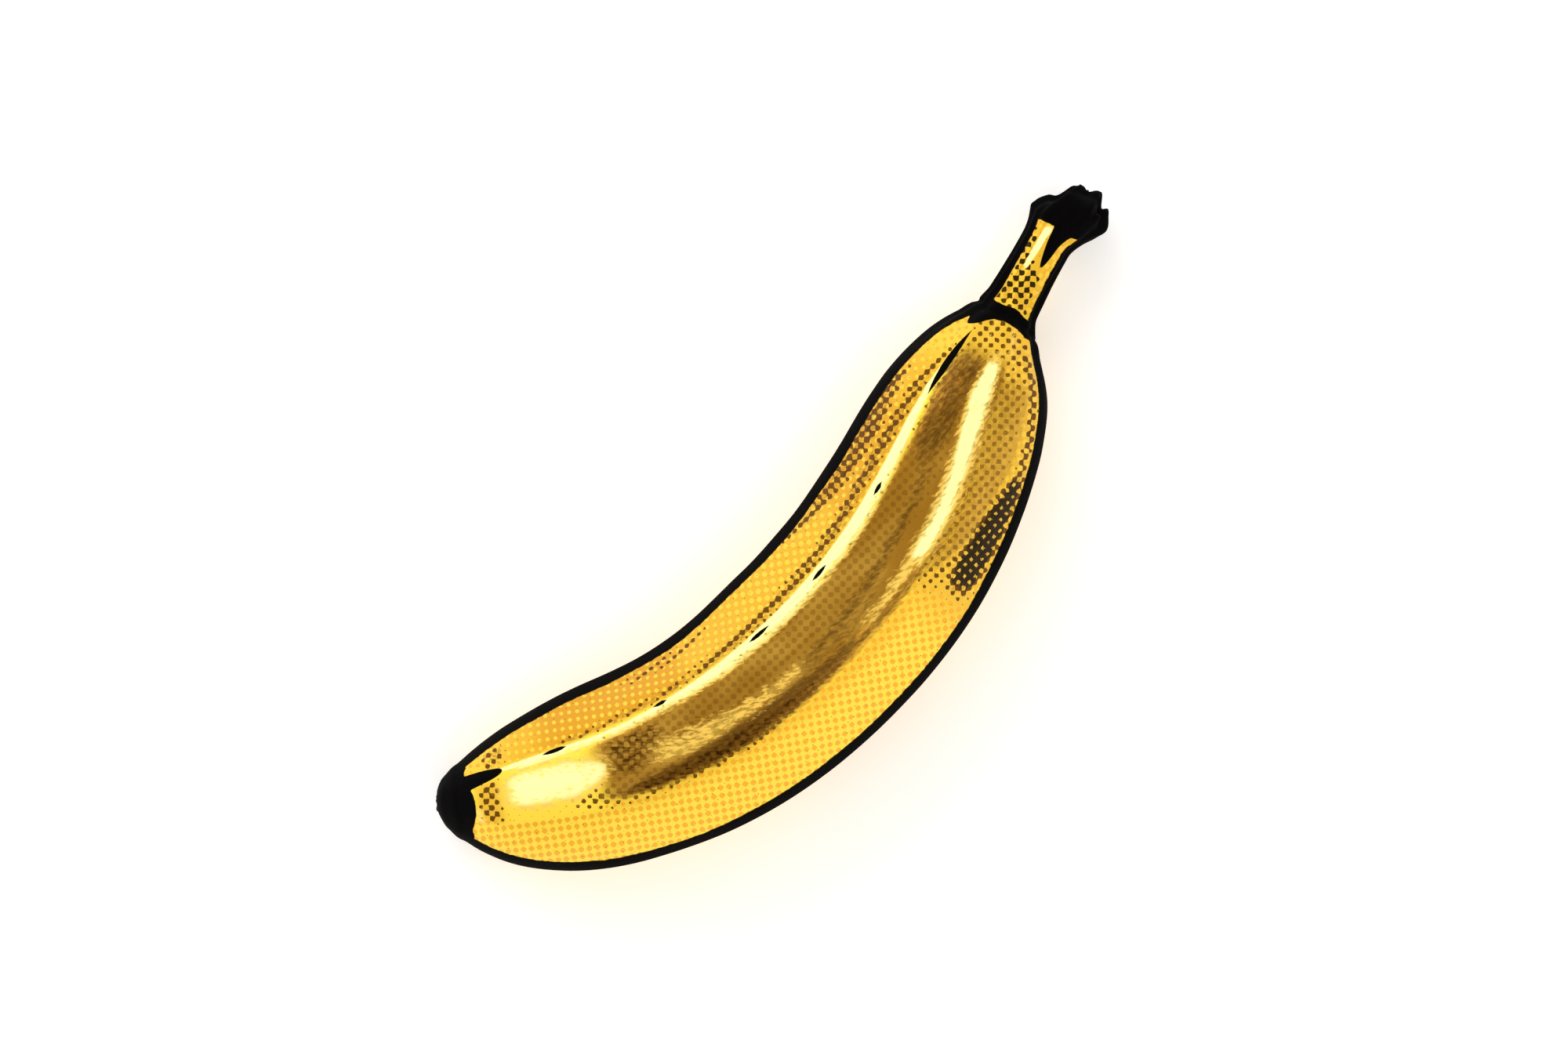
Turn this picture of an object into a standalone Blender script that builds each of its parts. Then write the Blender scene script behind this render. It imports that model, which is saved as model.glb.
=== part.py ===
"""A ripe banana lying on its flank.

The fruit grew as one piece, so it is one solid. A single section, a rounded hexagon with a keel along
each ridge, is carried along a bent centreline from the blossom tip at -X to the cut crown at +X. The
outer curve of the fruit faces -Y. A small level face is cut from the underside, where the peel rests.
The origin is under the middle of the fruit's box, on the surface that the fruit lies on.
"""

from math import atan2, cos, hypot, pi, radians, sin, tan

import bmesh
import bpy
import numpy as np
from mathutils import Vector

# Lengths along the centreline, in metres.
BODY_LENGTH = 0.162  # blossom tip to neck
STEM_LENGTH = 0.0289  # neck to the end of the crown
CROWN_LENGTH = 0.0125  # the flared part of the stem, at its end

# Widths are across the fruit as it lies, depths are from its underside to its top.
BODY_WIDTH = 0.0422
BODY_DEPTH = 0.0388
STEM_WIDTH = 0.0102
STEM_DEPTH = 0.0116
CROWN_WIDTH = 0.0146
CROWN_DEPTH = 0.0138
TIP_WIDTH = 0.0082  # the dry blossom scar, round
TIP_ROUNDING = 0.0014
CROWN_ROUNDING = 0.0030
END_FACE = 0.62  # share of the width that is left flat inside a rounded end edge

# How far the fruit takes to fill out, from the tip and from the neck.
TIP_SHOULDER = 0.0143
NECK_SHOULDER = 0.0105
NECK_FILLET = 0.0028
SLOW_FILL = 0.23  # share of the girth gained slowly over half of the body
FILL_POWER = 1.08

# The bend of the centreline.
BODY_BEND = radians(67)
NECK_BACK_BEND = radians(7)
EVEN_BEND_TO = 0.70  # the bend is even up to this share of the body, then eases out
BEND_ENDS_AT = 0.91
BACK_BEND_FROM = 0.90
BACK_BEND_TO = 1.03

# The section. Angles go from the inner curve, over the top, to the outer curve and on underneath.
RIDGES = tuple(radians(a) for a in (0, 63, 109, 180, 236, 304))
RIDGE_CRISPNESS = 13
BODY_FLATNESS = 0.68  # 0 gives a plain oval, 1 gives full facets
END_FLATNESS = 0.30
END_SHARE = 0.25  # the facets fade over this share of the body at each end

# The crown, where the fruit was cut from its hand.
CROWN_LOBES = 5
CROWN_FLARE = 0.7  # the crown is at its full width by this share of its length
CROWN_LOBE_HEIGHT = 0.00045
CROWN_LEAN = 0.0016  # the cut end stands off towards the outer curve
CROWN_SLANT = radians(10)  # the cut is longer on the outer curve's side

UNDERSIDE_LEVEL = 0.65  # 0 tapers evenly above and below, 1 keeps the underside level
REST_CUT = 0.0006

# How finely the solid is made.
SIDES = 40
BODY_RINGS = 42
STEM_RINGS = 6
CROWN_RINGS = 7
EDGE_RINGS = 4
BEND_STEPS = 400


def eased(share):
    """0 to 1, with a level start and a level end."""
    share = min(max(share, 0.0), 1.0)
    return share * share * (3 - 2 * share)


def bend_share(along):
    """The share of the body's bend that is reached at this share of its length."""
    along = min(max(along, 0.0), BEND_ENDS_AT)
    ease = BEND_ENDS_AT - EVEN_BEND_TO
    past = max(along - EVEN_BEND_TO, 0.0)
    return (along - past * past / (2 * ease)) / (BEND_ENDS_AT - ease / 2)


def heading(along):
    """The centreline's direction this far from the tip, from its direction at the tip."""
    share = along / BODY_LENGTH
    back = eased((share - BACK_BEND_FROM) / (BACK_BEND_TO - BACK_BEND_FROM))
    return BODY_BEND * bend_share(share) - NECK_BACK_BEND * back


def centreline(places):
    """A point and a direction on the centreline for each place, with the tip and the crown on the X axis."""
    steps = np.linspace(0, BODY_LENGTH + STEM_LENGTH, BEND_STEPS + 1)
    turns = np.array([heading(s) for s in (steps[1:] + steps[:-1]) / 2])
    moves = np.diff(steps)[:, None] * np.column_stack([np.cos(turns), np.sin(turns)])
    points = np.vstack([[0, 0], np.cumsum(moves, axis=0)])
    chord = atan2(points[-1, 1], points[-1, 0])
    turn = np.array([[cos(chord), -sin(chord)], [sin(chord), cos(chord)]])
    points = points @ turn
    return [
        (
            Vector((np.interp(s, steps, points[:, 0]), np.interp(s, steps, points[:, 1]), 0)),
            heading(s) - chord,
        )
        for s in places
    ]


def fullness(distance, shoulder, run):
    """How far the girth has risen, 0 to 1, at this distance in from the tip or the neck."""
    near = np.exp(-((distance / shoulder) ** FILL_POWER))
    far = max(1 - distance / run, 0.0) ** 2
    return 1 - (1 - SLOW_FILL) * near - SLOW_FILL * far


def girth(along, body, stem, crown):
    """The full width, or the full depth, of the fruit this far from the tip."""
    total = BODY_LENGTH + STEM_LENGTH
    run = BODY_LENGTH / 2
    from_neck = BODY_LENGTH - along
    from_neck = (from_neck + hypot(from_neck, NECK_FILLET)) / 2
    size = body
    size -= (body - TIP_WIDTH) * (1 - fullness(along, TIP_SHOULDER, run))
    size -= (body - stem) * (1 - fullness(from_neck, NECK_SHOULDER, run))
    size += (crown - stem) * eased((along - total + CROWN_LENGTH) / (CROWN_LENGTH * CROWN_FLARE))
    return size * end_rounding(along, TIP_ROUNDING) * end_rounding(total - along, CROWN_ROUNDING)


def end_rounding(distance, radius):
    """The share of the girth that is left this near to an end, over a rounded edge."""
    left = max(1 - distance / radius, 0.0)
    return END_FACE + (1 - END_FACE) * (1 - left * left) ** 0.5


def section_radius(around, flatness):
    """The radius of the ridged section, before it is fitted to a width and a depth."""
    total = 0.0
    for ridge, following in zip(RIDGES, RIDGES[1:] + (2 * pi,)):
        facing, reach = (ridge + following) / 2, cos((following - ridge) / 2)
        total += max(cos(around - facing), 0.0) ** RIDGE_CRISPNESS / reach**RIDGE_CRISPNESS
    ridge_reach = 2 ** (-1 / RIDGE_CRISPNESS)
    return flatness * total ** (-1 / RIDGE_CRISPNESS) + (1 - flatness) * ridge_reach


def section(width, depth, flatness, lobe_height):
    """The section's points as (inwards, up), filling the width and the depth exactly."""
    angles = np.arange(SIDES) * 2 * pi / SIDES
    radii = np.array([section_radius(a, flatness) for a in angles])
    radii += lobe_height / (width / 2) * np.cos(CROWN_LOBES * angles)
    inwards, up = radii * np.cos(angles), radii * np.sin(angles)
    fitted = []
    for across, size in ((inwards, width), (up, depth)):
        middle, reach = (across.max() + across.min()) / 2, (across.max() - across.min()) / 2
        fitted.append((across - middle) / reach * size / 2)
    return list(zip(*fitted))


def ring_places():
    """Where the rings stand along the centreline: closer together at the two ends and at the neck."""
    total = BODY_LENGTH + STEM_LENGTH
    tip = [TIP_ROUNDING * (1 - cos(pi / 2 * k / EDGE_RINGS)) for k in range(EDGE_RINGS)]
    body = [
        TIP_ROUNDING + (BODY_LENGTH - TIP_ROUNDING) * (1 - cos(pi * k / BODY_RINGS)) / 2
        for k in range(BODY_RINGS)
    ]
    stem_end = total - CROWN_LENGTH
    stem = [BODY_LENGTH + (stem_end - BODY_LENGTH) * k / STEM_RINGS for k in range(STEM_RINGS)]
    flare = CROWN_LENGTH - CROWN_ROUNDING
    crown = [stem_end + flare * k / CROWN_RINGS for k in range(CROWN_RINGS)]
    edge = [total - CROWN_ROUNDING * (1 - sin(pi / 2 * k / EDGE_RINGS)) for k in range(EDGE_RINGS + 1)]
    return tip + body + stem + crown + edge


def ring_points(along, point, turn):
    """The ring of points round the fruit at one place on its centreline."""
    total = BODY_LENGTH + STEM_LENGTH
    width = girth(along, BODY_WIDTH, STEM_WIDTH, CROWN_WIDTH)
    depth = girth(along, BODY_DEPTH, STEM_DEPTH, CROWN_DEPTH)
    mid_body = eased(min(along, BODY_LENGTH - along) / (BODY_LENGTH * END_SHARE))
    flatness = END_FLATNESS + (BODY_FLATNESS - END_FLATNESS) * mid_body
    at_crown = eased((along - total + CROWN_LENGTH) / CROWN_LENGTH)
    ahead = Vector((cos(turn), sin(turn), 0))
    inward = Vector((-sin(turn), cos(turn), 0))
    sunk = UNDERSIDE_LEVEL * (BODY_DEPTH - depth) / 2
    centre = point - inward * (CROWN_LEAN * at_crown) - Vector((0, 0, sunk))
    slant = tan(CROWN_SLANT) * at_crown**2
    return [
        centre + (inward - ahead * slant) * across + Vector((0, 0, up))
        for across, up in section(width, depth, flatness, CROWN_LOBE_HEIGHT * at_crown)
    ]


def loft(mesh):
    """One ring of edges, drawn out from place to place along the centreline and closed at both ends."""
    places = ring_places()
    rings = [ring_points(s, *line) for s, line in zip(places, centreline(places))]
    step = mesh.verts.layers.int.new("step round the section")
    first = bmesh.ops.create_circle(mesh, segments=SIDES, radius=TIP_WIDTH / 2)["verts"]
    for number, vert in enumerate(first):
        vert[step] = number
        vert.co = rings[0][number]
    edges = list(mesh.edges)
    bmesh.ops.contextual_create(mesh, geom=edges)
    for points in rings[1:]:
        drawn = bmesh.ops.extrude_edge_only(mesh, edges=edges)["geom"]
        edges = [e for e in drawn if isinstance(e, bmesh.types.BMEdge)]
        for vert in drawn:
            if isinstance(vert, bmesh.types.BMVert):
                vert.co = points[vert[step]]
    bmesh.ops.contextual_create(mesh, geom=edges)


def cut_rest_face(mesh):
    """Cuts the underside level and closes it with one flat face."""
    lowest = min(vert.co.z for vert in mesh.verts)
    everything = list(mesh.verts) + list(mesh.edges) + list(mesh.faces)
    cut = bmesh.ops.bisect_plane(
        mesh,
        geom=everything,
        dist=1e-7,
        plane_co=(0, 0, lowest + REST_CUT),
        plane_no=(0, 0, 1),
        clear_inner=True,
    )
    rim = [e for e in cut["geom_cut"] if isinstance(e, bmesh.types.BMEdge)]
    bmesh.ops.holes_fill(mesh, edges=rim, sides=0)


def stand_on_origin(mesh):
    """Moves the fruit so that the origin is under the middle of its box."""
    points = np.array([vert.co for vert in mesh.verts])
    low, high = points.min(axis=0), points.max(axis=0)
    middle = (low + high) / 2
    bmesh.ops.translate(mesh, verts=mesh.verts, vec=(-middle[0], -middle[1], -low[2]))


def peel_material():
    """Golden ripe peel, with a waxy sheen."""
    material = bpy.data.materials.new("peel")
    material.use_nodes = True
    shader = material.node_tree.nodes["Principled BSDF"]
    shader.inputs["Base Color"].default_value = (0.90, 0.60, 0.06, 1)
    shader.inputs["Roughness"].default_value = 0.35
    shader.inputs["Metallic"].default_value = 0.25
    return material


def banana():
    """The whole fruit."""
    mesh = bmesh.new()
    loft(mesh)
    cut_rest_face(mesh)
    stand_on_origin(mesh)
    bmesh.ops.recalc_face_normals(mesh, faces=mesh.faces)
    data = bpy.data.meshes.new("banana")
    mesh.to_mesh(data)
    mesh.free()
    data.materials.append(peel_material())
    data.shade_smooth()
    data.set_sharp_from_angle(angle=radians(40))
    fruit = bpy.data.objects.new("banana", data)
    bpy.context.scene.collection.objects.link(fruit)
    return fruit


def main():
    """Clears the scene and models the fruit."""
    for obj in list(bpy.data.objects):
        bpy.data.objects.remove(obj, do_unlink=True)
    banana()


main()
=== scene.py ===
"""The looks of a ripe golden banana that lies on its flank.

The fruit is modelled straight, as a ring of edges drawn out along +X, and is then given its ridges, its
neck, its crown and its blossom tip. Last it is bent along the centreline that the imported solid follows.
Lengths are in metres. Round the fruit, an angle of 0 is the inner curve's keel, 90 degrees is the top,
180 degrees is the outer curve's keel, and 270 degrees is the underside, which rests on the floor.
"""

import logging
from dataclasses import dataclass, field
from enum import Enum
from math import atan2, cos, pi, radians, sin, tan

import bpy
import numpy as np
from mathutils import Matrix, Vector, noise


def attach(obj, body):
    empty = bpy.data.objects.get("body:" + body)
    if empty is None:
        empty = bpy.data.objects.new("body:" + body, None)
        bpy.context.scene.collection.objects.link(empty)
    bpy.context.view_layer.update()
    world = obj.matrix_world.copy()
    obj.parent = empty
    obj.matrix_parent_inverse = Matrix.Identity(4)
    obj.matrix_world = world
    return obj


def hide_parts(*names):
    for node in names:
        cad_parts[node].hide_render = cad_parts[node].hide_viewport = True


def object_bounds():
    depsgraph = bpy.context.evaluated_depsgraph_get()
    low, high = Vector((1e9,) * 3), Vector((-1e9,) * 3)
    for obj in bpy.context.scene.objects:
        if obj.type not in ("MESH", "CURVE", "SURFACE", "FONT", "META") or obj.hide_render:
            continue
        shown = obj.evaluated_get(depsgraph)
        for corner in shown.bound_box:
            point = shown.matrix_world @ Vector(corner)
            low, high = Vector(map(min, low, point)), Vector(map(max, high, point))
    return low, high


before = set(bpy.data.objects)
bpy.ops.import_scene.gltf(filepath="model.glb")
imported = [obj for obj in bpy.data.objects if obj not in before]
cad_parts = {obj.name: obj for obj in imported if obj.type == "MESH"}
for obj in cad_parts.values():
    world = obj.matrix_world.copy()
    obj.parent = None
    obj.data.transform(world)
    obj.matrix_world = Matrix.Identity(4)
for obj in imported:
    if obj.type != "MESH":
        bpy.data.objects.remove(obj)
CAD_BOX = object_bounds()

log = logging.getLogger("banana")

NODE = "banana"
BODY = "root"
MM = 0.001
PLACES = "print_place"
GROWN = "grown_place"


# ---------------------------------------------------------------------------------------------------------
# Small helpers
# ---------------------------------------------------------------------------------------------------------


def eased(share: np.ndarray) -> np.ndarray:
    """0 to 1 with a level start and a level end."""
    share = np.clip(share, 0.0, 1.0)
    return share * share * (3 - 2 * share)


def ramp(value: np.ndarray, low: float, high: float) -> np.ndarray:
    """0 below low and 1 above high, eased between them."""
    return eased((value - low) / (high - low))


def window(value: np.ndarray, low: float, high: float, soft: float) -> np.ndarray:
    """1 between low and high, falling to 0 within soft of each side."""
    return ramp(value, low - soft, low + soft) * (1 - ramp(value, high - soft, high + soft))


def hump(value: np.ndarray, centre: float, reach: float) -> np.ndarray:
    """A round hump, 1 at the centre and 0 from reach away."""
    return eased(1 - np.abs(value - centre) / reach)


def noise_at(points: np.ndarray, per_metre: tuple[float, float, float], seed: float = 0.0) -> np.ndarray:
    """Smooth noise between about -1 and 1 at each point.

    Args:
        points: one row for each point.
        per_metre: how fast the noise changes along each axis.
        seed: moves the pattern, so that two layers differ.

    Returns:
        One value for each point.
    """
    scaled = points * np.array(per_metre) + seed
    return np.array([noise.noise(Vector(p)) for p in scaled.tolist()])


def linear(red: int, green: int, blue: int) -> tuple[float, float, float, float]:
    """A display colour, 0 to 255, as the linear colour that a shader takes."""
    channels = [c / 255 for c in (red, green, blue)]
    return (*(c / 12.92 if c <= 0.04045 else ((c + 0.055) / 1.055) ** 2.4 for c in channels), 1.0)


def edit(mode: str, *kinds: str) -> None:
    """Enters edit mode, or leaves it with mode OBJECT, and sets what is selected in it.

    Args:
        mode: the mode to enter.
        kinds: the kinds of element to select by.
    """
    bpy.ops.object.mode_set(mode=mode)
    for kind in kinds:
        bpy.ops.mesh.select_mode(type=kind)


def coordinates(piece: bpy.types.Object) -> np.ndarray:
    """The piece's vertices, one row each.

    Args:
        piece: the piece to work on.

    Returns:
        One row (x, y, z) for each vertex.
    """
    rows = np.empty(len(piece.data.vertices) * 3)
    piece.data.vertices.foreach_get("co", rows)
    return rows.reshape(-1, 3)


def set_coordinates(piece: bpy.types.Object, rows: np.ndarray) -> None:
    """Moves the piece's vertices to the rows given."""
    piece.data.vertices.foreach_set("co", rows.astype(np.float32).ravel())
    piece.data.update()


def write_values(piece: bpy.types.Object, name: str, values: np.ndarray) -> None:
    """Stores one number, or one vector, for each vertex under the name given.

    Args:
        piece: the piece to work on.
        name: the name to store them under.
        values: one number, or one row, for each vertex.
    """
    kind, key = ("FLOAT", "value") if values.ndim == 1 else ("FLOAT_VECTOR", "vector")
    layer = piece.data.attributes.new(name, kind, "POINT")
    layer.data.foreach_set(key, values.astype(np.float32).ravel())


def close_end(reach: float, rings: int) -> None:
    """Closes the selected ring with a face, insets it and gathers its middle to a point.

    Args:
        reach: the ring's radius.
        rings: how many rings the face is inset by.
    """
    bpy.ops.mesh.edge_face_add()
    bpy.ops.mesh.select_mode(type="FACE")
    for _ in range(rings):
        bpy.ops.mesh.inset(thickness=reach / (rings + 1), depth=0)
    bpy.ops.mesh.poke()


def draw_out(
    name: str, sides: int, stations: list[tuple[float, float, float]], rings: int
) -> bpy.types.Object:
    """Draws a closed, straight form along +X out of one ring.

    Args:
        name: the piece's name.
        sides: how many corners each ring has.
        stations: where each ring stands, its half width and its half depth.
        rings: how many rings each end face is inset by.

    Returns:
        The closed form, faces outwards.
    """
    bpy.ops.object.select_all(action="DESELECT")
    bpy.ops.mesh.primitive_circle_add(vertices=sides, radius=1.0, fill_type="NOTHING")
    piece = bpy.context.object
    piece.name = piece.data.name = name
    at, half_width, half_depth = stations[0]
    edit("EDIT", "EDGE")
    bpy.ops.mesh.select_all(action="SELECT")
    bpy.ops.transform.rotate(value=-pi / 2, orient_axis="Y", center_override=(0, 0, 0))
    bpy.ops.transform.resize(value=(1, half_width, half_depth), center_override=(0, 0, 0))
    bpy.ops.transform.translate(value=(at, 0, 0))
    for before, after in zip(stations, stations[1:]):
        step = after[0] - before[0]
        bpy.ops.mesh.extrude_edges_move(TRANSFORM_OT_translate={"value": (step, 0, 0)})
        grow = (1, after[1] / before[1], after[2] / before[2])
        bpy.ops.transform.resize(value=grow, center_override=(after[0], 0, 0))
    close_end(min(stations[-1][1:]), rings)
    edit("OBJECT")
    first = np.abs(coordinates(piece)[:, 0] - at) < 1e-6
    piece.data.polygons.foreach_set("select", [False] * len(piece.data.polygons))
    piece.data.edges.foreach_set("select", [bool(first[list(e.vertices)].all()) for e in piece.data.edges])
    piece.data.vertices.foreach_set("select", first)
    edit("EDIT", "EDGE")
    close_end(min(stations[0][1:]), rings)
    bpy.ops.mesh.select_all(action="SELECT")
    bpy.ops.mesh.normals_make_consistent(inside=False)
    edit("OBJECT")
    return piece


def apply_modifier(piece: bpy.types.Object, kind: str, **settings: object) -> None:
    """Adds a modifier with the settings given and applies it.

    Args:
        piece: the piece to work on.
        kind: the modifier's kind.
        settings: its settings, by name.
    """
    modifier = piece.modifiers.new(kind.title(), kind)
    for key, value in settings.items():
        setattr(modifier, key, value)
    bpy.ops.object.select_all(action="DESELECT")
    piece.select_set(True)
    bpy.context.view_layer.objects.active = piece
    bpy.ops.object.modifier_apply(modifier=modifier.name)


# ---------------------------------------------------------------------------------------------------------
# The form of the fruit
# ---------------------------------------------------------------------------------------------------------


@dataclass(frozen=True)
class FruitForm:
    """The fruit's plain form: its centreline, its girth and its ridged section."""

    body_length: float = 0.162
    stem_length: float = 0.0289
    crown_length: float = 0.0125
    body_width: float = 0.0422
    body_depth: float = 0.0388
    stem_width: float = 0.0102
    stem_depth: float = 0.0116
    crown_width: float = 0.0146
    crown_depth: float = 0.0138
    tip_width: float = 0.0082
    tip_rounding: float = 0.0014
    crown_rounding: float = 0.0020
    end_face: float = 0.62
    tip_shoulder: float = 0.0143
    neck_shoulder: float = 0.0105
    neck_fillet: float = 0.0028
    slow_fill: float = 0.23
    fill_power: float = 1.08
    body_bend: float = radians(67)
    neck_back_bend: float = radians(7)
    even_bend_to: float = 0.70
    bend_ends_at: float = 0.91
    back_bend_from: float = 0.90
    back_bend_to: float = 1.03
    crown_lean: float = 0.0020
    stem_lean: float = 0.00035  # how far neck and stem stand towards the outer side
    lean_from: float = 0.74
    lean_to: float = 0.80
    crown_slant: float = radians(10)
    crown_flare: float = 0.7
    underside_level: float = 0.65
    rest_cut: float = 0.0006
    ridges: tuple[float, ...] = tuple(radians(a) for a in (0.0, 63.28, 109.69, 180.0, 236.25, 303.75))
    crispness: float = 13
    body_flatness: float = 0.86
    end_flatness: float = 0.30
    crest_height: float = 0.014  # share of the half width
    crest_reach: float = radians(3.4)
    bend_steps: int = 400

    @property
    def length(self) -> float:
        """The length of the centreline."""
        return self.body_length + self.stem_length

    def heading(self, along: np.ndarray) -> np.ndarray:
        """The centreline's direction at each distance from the tip, from its direction at the tip.

        Args:
            along: distances from the tip.

        Returns:
            One direction, in radians, for each distance.
        """
        share = along / self.body_length
        within = np.clip(share, 0.0, self.bend_ends_at)
        ease = self.bend_ends_at - self.even_bend_to
        past = np.maximum(within - self.even_bend_to, 0.0)
        bent = (within - past * past / (2 * ease)) / (self.bend_ends_at - ease / 2)
        back = self.neck_back_bend * ramp(share, self.back_bend_from, self.back_bend_to)
        return self.body_bend * bent - back

    def centreline(self, along: np.ndarray) -> tuple[np.ndarray, np.ndarray]:
        """Follows the bent centreline, whose two ends lie on the X axis.

        Args:
            along: distances from the tip.

        Returns:
            The points, one row (x, y) each, and the directions.
        """
        steps = np.linspace(0, self.length, self.bend_steps + 1)
        turns = self.heading((steps[1:] + steps[:-1]) / 2)
        moves = np.diff(steps)[:, None] * np.column_stack([np.cos(turns), np.sin(turns)])
        points = np.vstack([[0, 0], np.cumsum(moves, axis=0)])
        chord = atan2(points[-1, 1], points[-1, 0])
        points = points @ np.array([[cos(chord), -sin(chord)], [sin(chord), cos(chord)]])
        found = np.column_stack([np.interp(along, steps, points[:, k]) for k in range(2)])
        return found, self.heading(along) - chord

    def fullness(self, distance: np.ndarray, shoulder: float) -> np.ndarray:
        """How far the girth has risen, 0 to 1, at each distance in from the tip or from the neck.

        Args:
            distance: distances in from that end.
            shoulder: how far that end's shoulder reaches.

        Returns:
            One share for each distance.
        """
        near = np.exp(-((distance / shoulder) ** self.fill_power))
        far = np.maximum(1 - distance / (self.body_length / 2), 0.0) ** 2
        return 1 - (1 - self.slow_fill) * near - self.slow_fill * far

    def end_rounding(self, distance: np.ndarray, radius: float) -> np.ndarray:
        """The share of the girth that is left near an end, over its rounded edge."""
        left = np.clip(1 - distance / radius, 0.0, 1.0)
        return self.end_face + (1 - self.end_face) * np.sqrt(1 - left * left)

    def girth(self, along: np.ndarray, body: float, stem: float, crown: float) -> np.ndarray:
        """The full width, or the full depth, at each distance from the tip.

        Args:
            along: distances from the tip.
            body: its size along the body.
            stem: its size along the stem.
            crown: its size at the crown.

        Returns:
            One size for each distance.
        """
        along = np.clip(along, 0.0, self.length)
        from_neck = self.body_length - along
        from_neck = (from_neck + np.hypot(from_neck, self.neck_fillet)) / 2
        size = body - (body - self.tip_width) * (1 - self.fullness(along, self.tip_shoulder))
        size = size - (body - stem) * (1 - self.fullness(from_neck, self.neck_shoulder))
        flare = self.crown_length * self.crown_flare
        size = size + (crown - stem) * eased((along - self.length + self.crown_length) / flare)
        size = size * self.end_rounding(along, self.tip_rounding)
        return size * self.end_rounding(self.length - along, self.crown_rounding)

    def width(self, along: np.ndarray) -> np.ndarray:
        """The full width at each distance from the tip."""
        return self.girth(along, self.body_width, self.stem_width, self.crown_width)

    def depth(self, along: np.ndarray) -> np.ndarray:
        """The full depth at each distance from the tip."""
        return self.girth(along, self.body_depth, self.stem_depth, self.crown_depth)

    def mid_body(self, along: np.ndarray) -> np.ndarray:
        """1 along the middle of the body, where the facets are full, and 0 at both of its ends."""
        return eased(np.minimum(along, self.body_length - along) / (self.body_length / 4))

    def radius(self, around: np.ndarray, flatness: np.ndarray) -> np.ndarray:
        """The ridged section's radius, with a crest along each ridge, before it is fitted to its width.

        Args:
            around: the angle round the fruit at each point.
            flatness: how flat the facets are at each point, 0 to 1.

        Returns:
            One radius for each angle.
        """
        total = np.zeros_like(around)
        for ridge, following in zip(self.ridges, self.ridges[1:] + (2 * pi,)):
            reach = cos((following - ridge) / 2)
            facing = np.maximum(np.cos(around - (ridge + following) / 2), 0.0)
            total += (facing / reach) ** self.crispness
        facets = total ** (-1 / self.crispness)
        plain = flatness * facets + (1 - flatness) * 2 ** (-1 / self.crispness)
        for ridge in self.ridges:
            away = np.abs((around - ridge + pi) % (2 * pi) - pi)
            plain = plain + self.crest_height * flatness * np.exp(-((away / self.crest_reach) ** 2))
        return plain

    def section(self, around: np.ndarray, flatness: np.ndarray) -> tuple[np.ndarray, np.ndarray]:
        """The section's (inwards, up) at each angle, fitted to fill -1 to 1 both ways.

        Args:
            around: the angle round the fruit at each point.
            flatness: how flat the facets are at each point, 0 to 1.

        Returns:
            The inward and the upward share.
        """
        samples = np.linspace(0, 2 * pi, 256, endpoint=False)
        levels = np.linspace(0, self.body_flatness, 9)
        rims = [self.radius(samples, np.full_like(samples, level)) for level in levels]
        radii = self.radius(around, flatness)
        fitted = []
        for own, turned in ((np.cos(around), np.cos(samples)), (np.sin(around), np.sin(samples))):
            highs = np.interp(flatness, levels, [(rim * turned).max() for rim in rims])
            lows = np.interp(flatness, levels, [(rim * turned).min() for rim in rims])
            fitted.append((radii * own - (highs + lows) / 2) / ((highs - lows) / 2))
        return fitted[0], fitted[1]

    def bend(self, straight: np.ndarray) -> np.ndarray:
        """Carries points of the straight fruit, (along, inwards, up), to their places in the bent one.

        Args:
            straight: points of the straight fruit, one row (along, inwards, up) each.

        Returns:
            One row (x, y, z) for each point.
        """
        along, inwards, up = straight.T
        points, turns = self.centreline(np.clip(along, 0, self.length))
        ahead = np.column_stack([np.cos(turns), np.sin(turns)])
        inward = np.column_stack([-np.sin(turns), np.cos(turns)])
        crown = eased((along - self.length + self.crown_length) / self.crown_length)
        past = along - np.clip(along, 0, self.length) - tan(self.crown_slant) * crown**2 * inwards
        leaning = ramp(along, self.lean_from * self.length, self.lean_to * self.length)
        lean = self.crown_lean * crown + self.stem_lean * leaning
        flat = points + ahead * past[:, None] + inward * (inwards - lean)[:, None]
        sunk = self.underside_level * (self.body_depth - self.depth(along)) / 2
        return np.column_stack([flat, up - sunk])


@dataclass(frozen=True)
class Seat:
    """Where the bent fruit stands in the frame, found once from the body and shared by every piece."""

    shift: tuple[float, float, float]

    def placed(self, rows: np.ndarray) -> np.ndarray:
        """The points at their places in the frame, with the underside level where it rests.

        Args:
            rows: the bent points.

        Returns:
            The same points, seated.
        """
        rows = rows + np.array(self.shift)
        rows[:, 2] = np.maximum(rows[:, 2], CAD_BOX[0][2])
        return rows


# ---------------------------------------------------------------------------------------------------------
# Sub-assemblies that shape the fruit
# ---------------------------------------------------------------------------------------------------------


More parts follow.
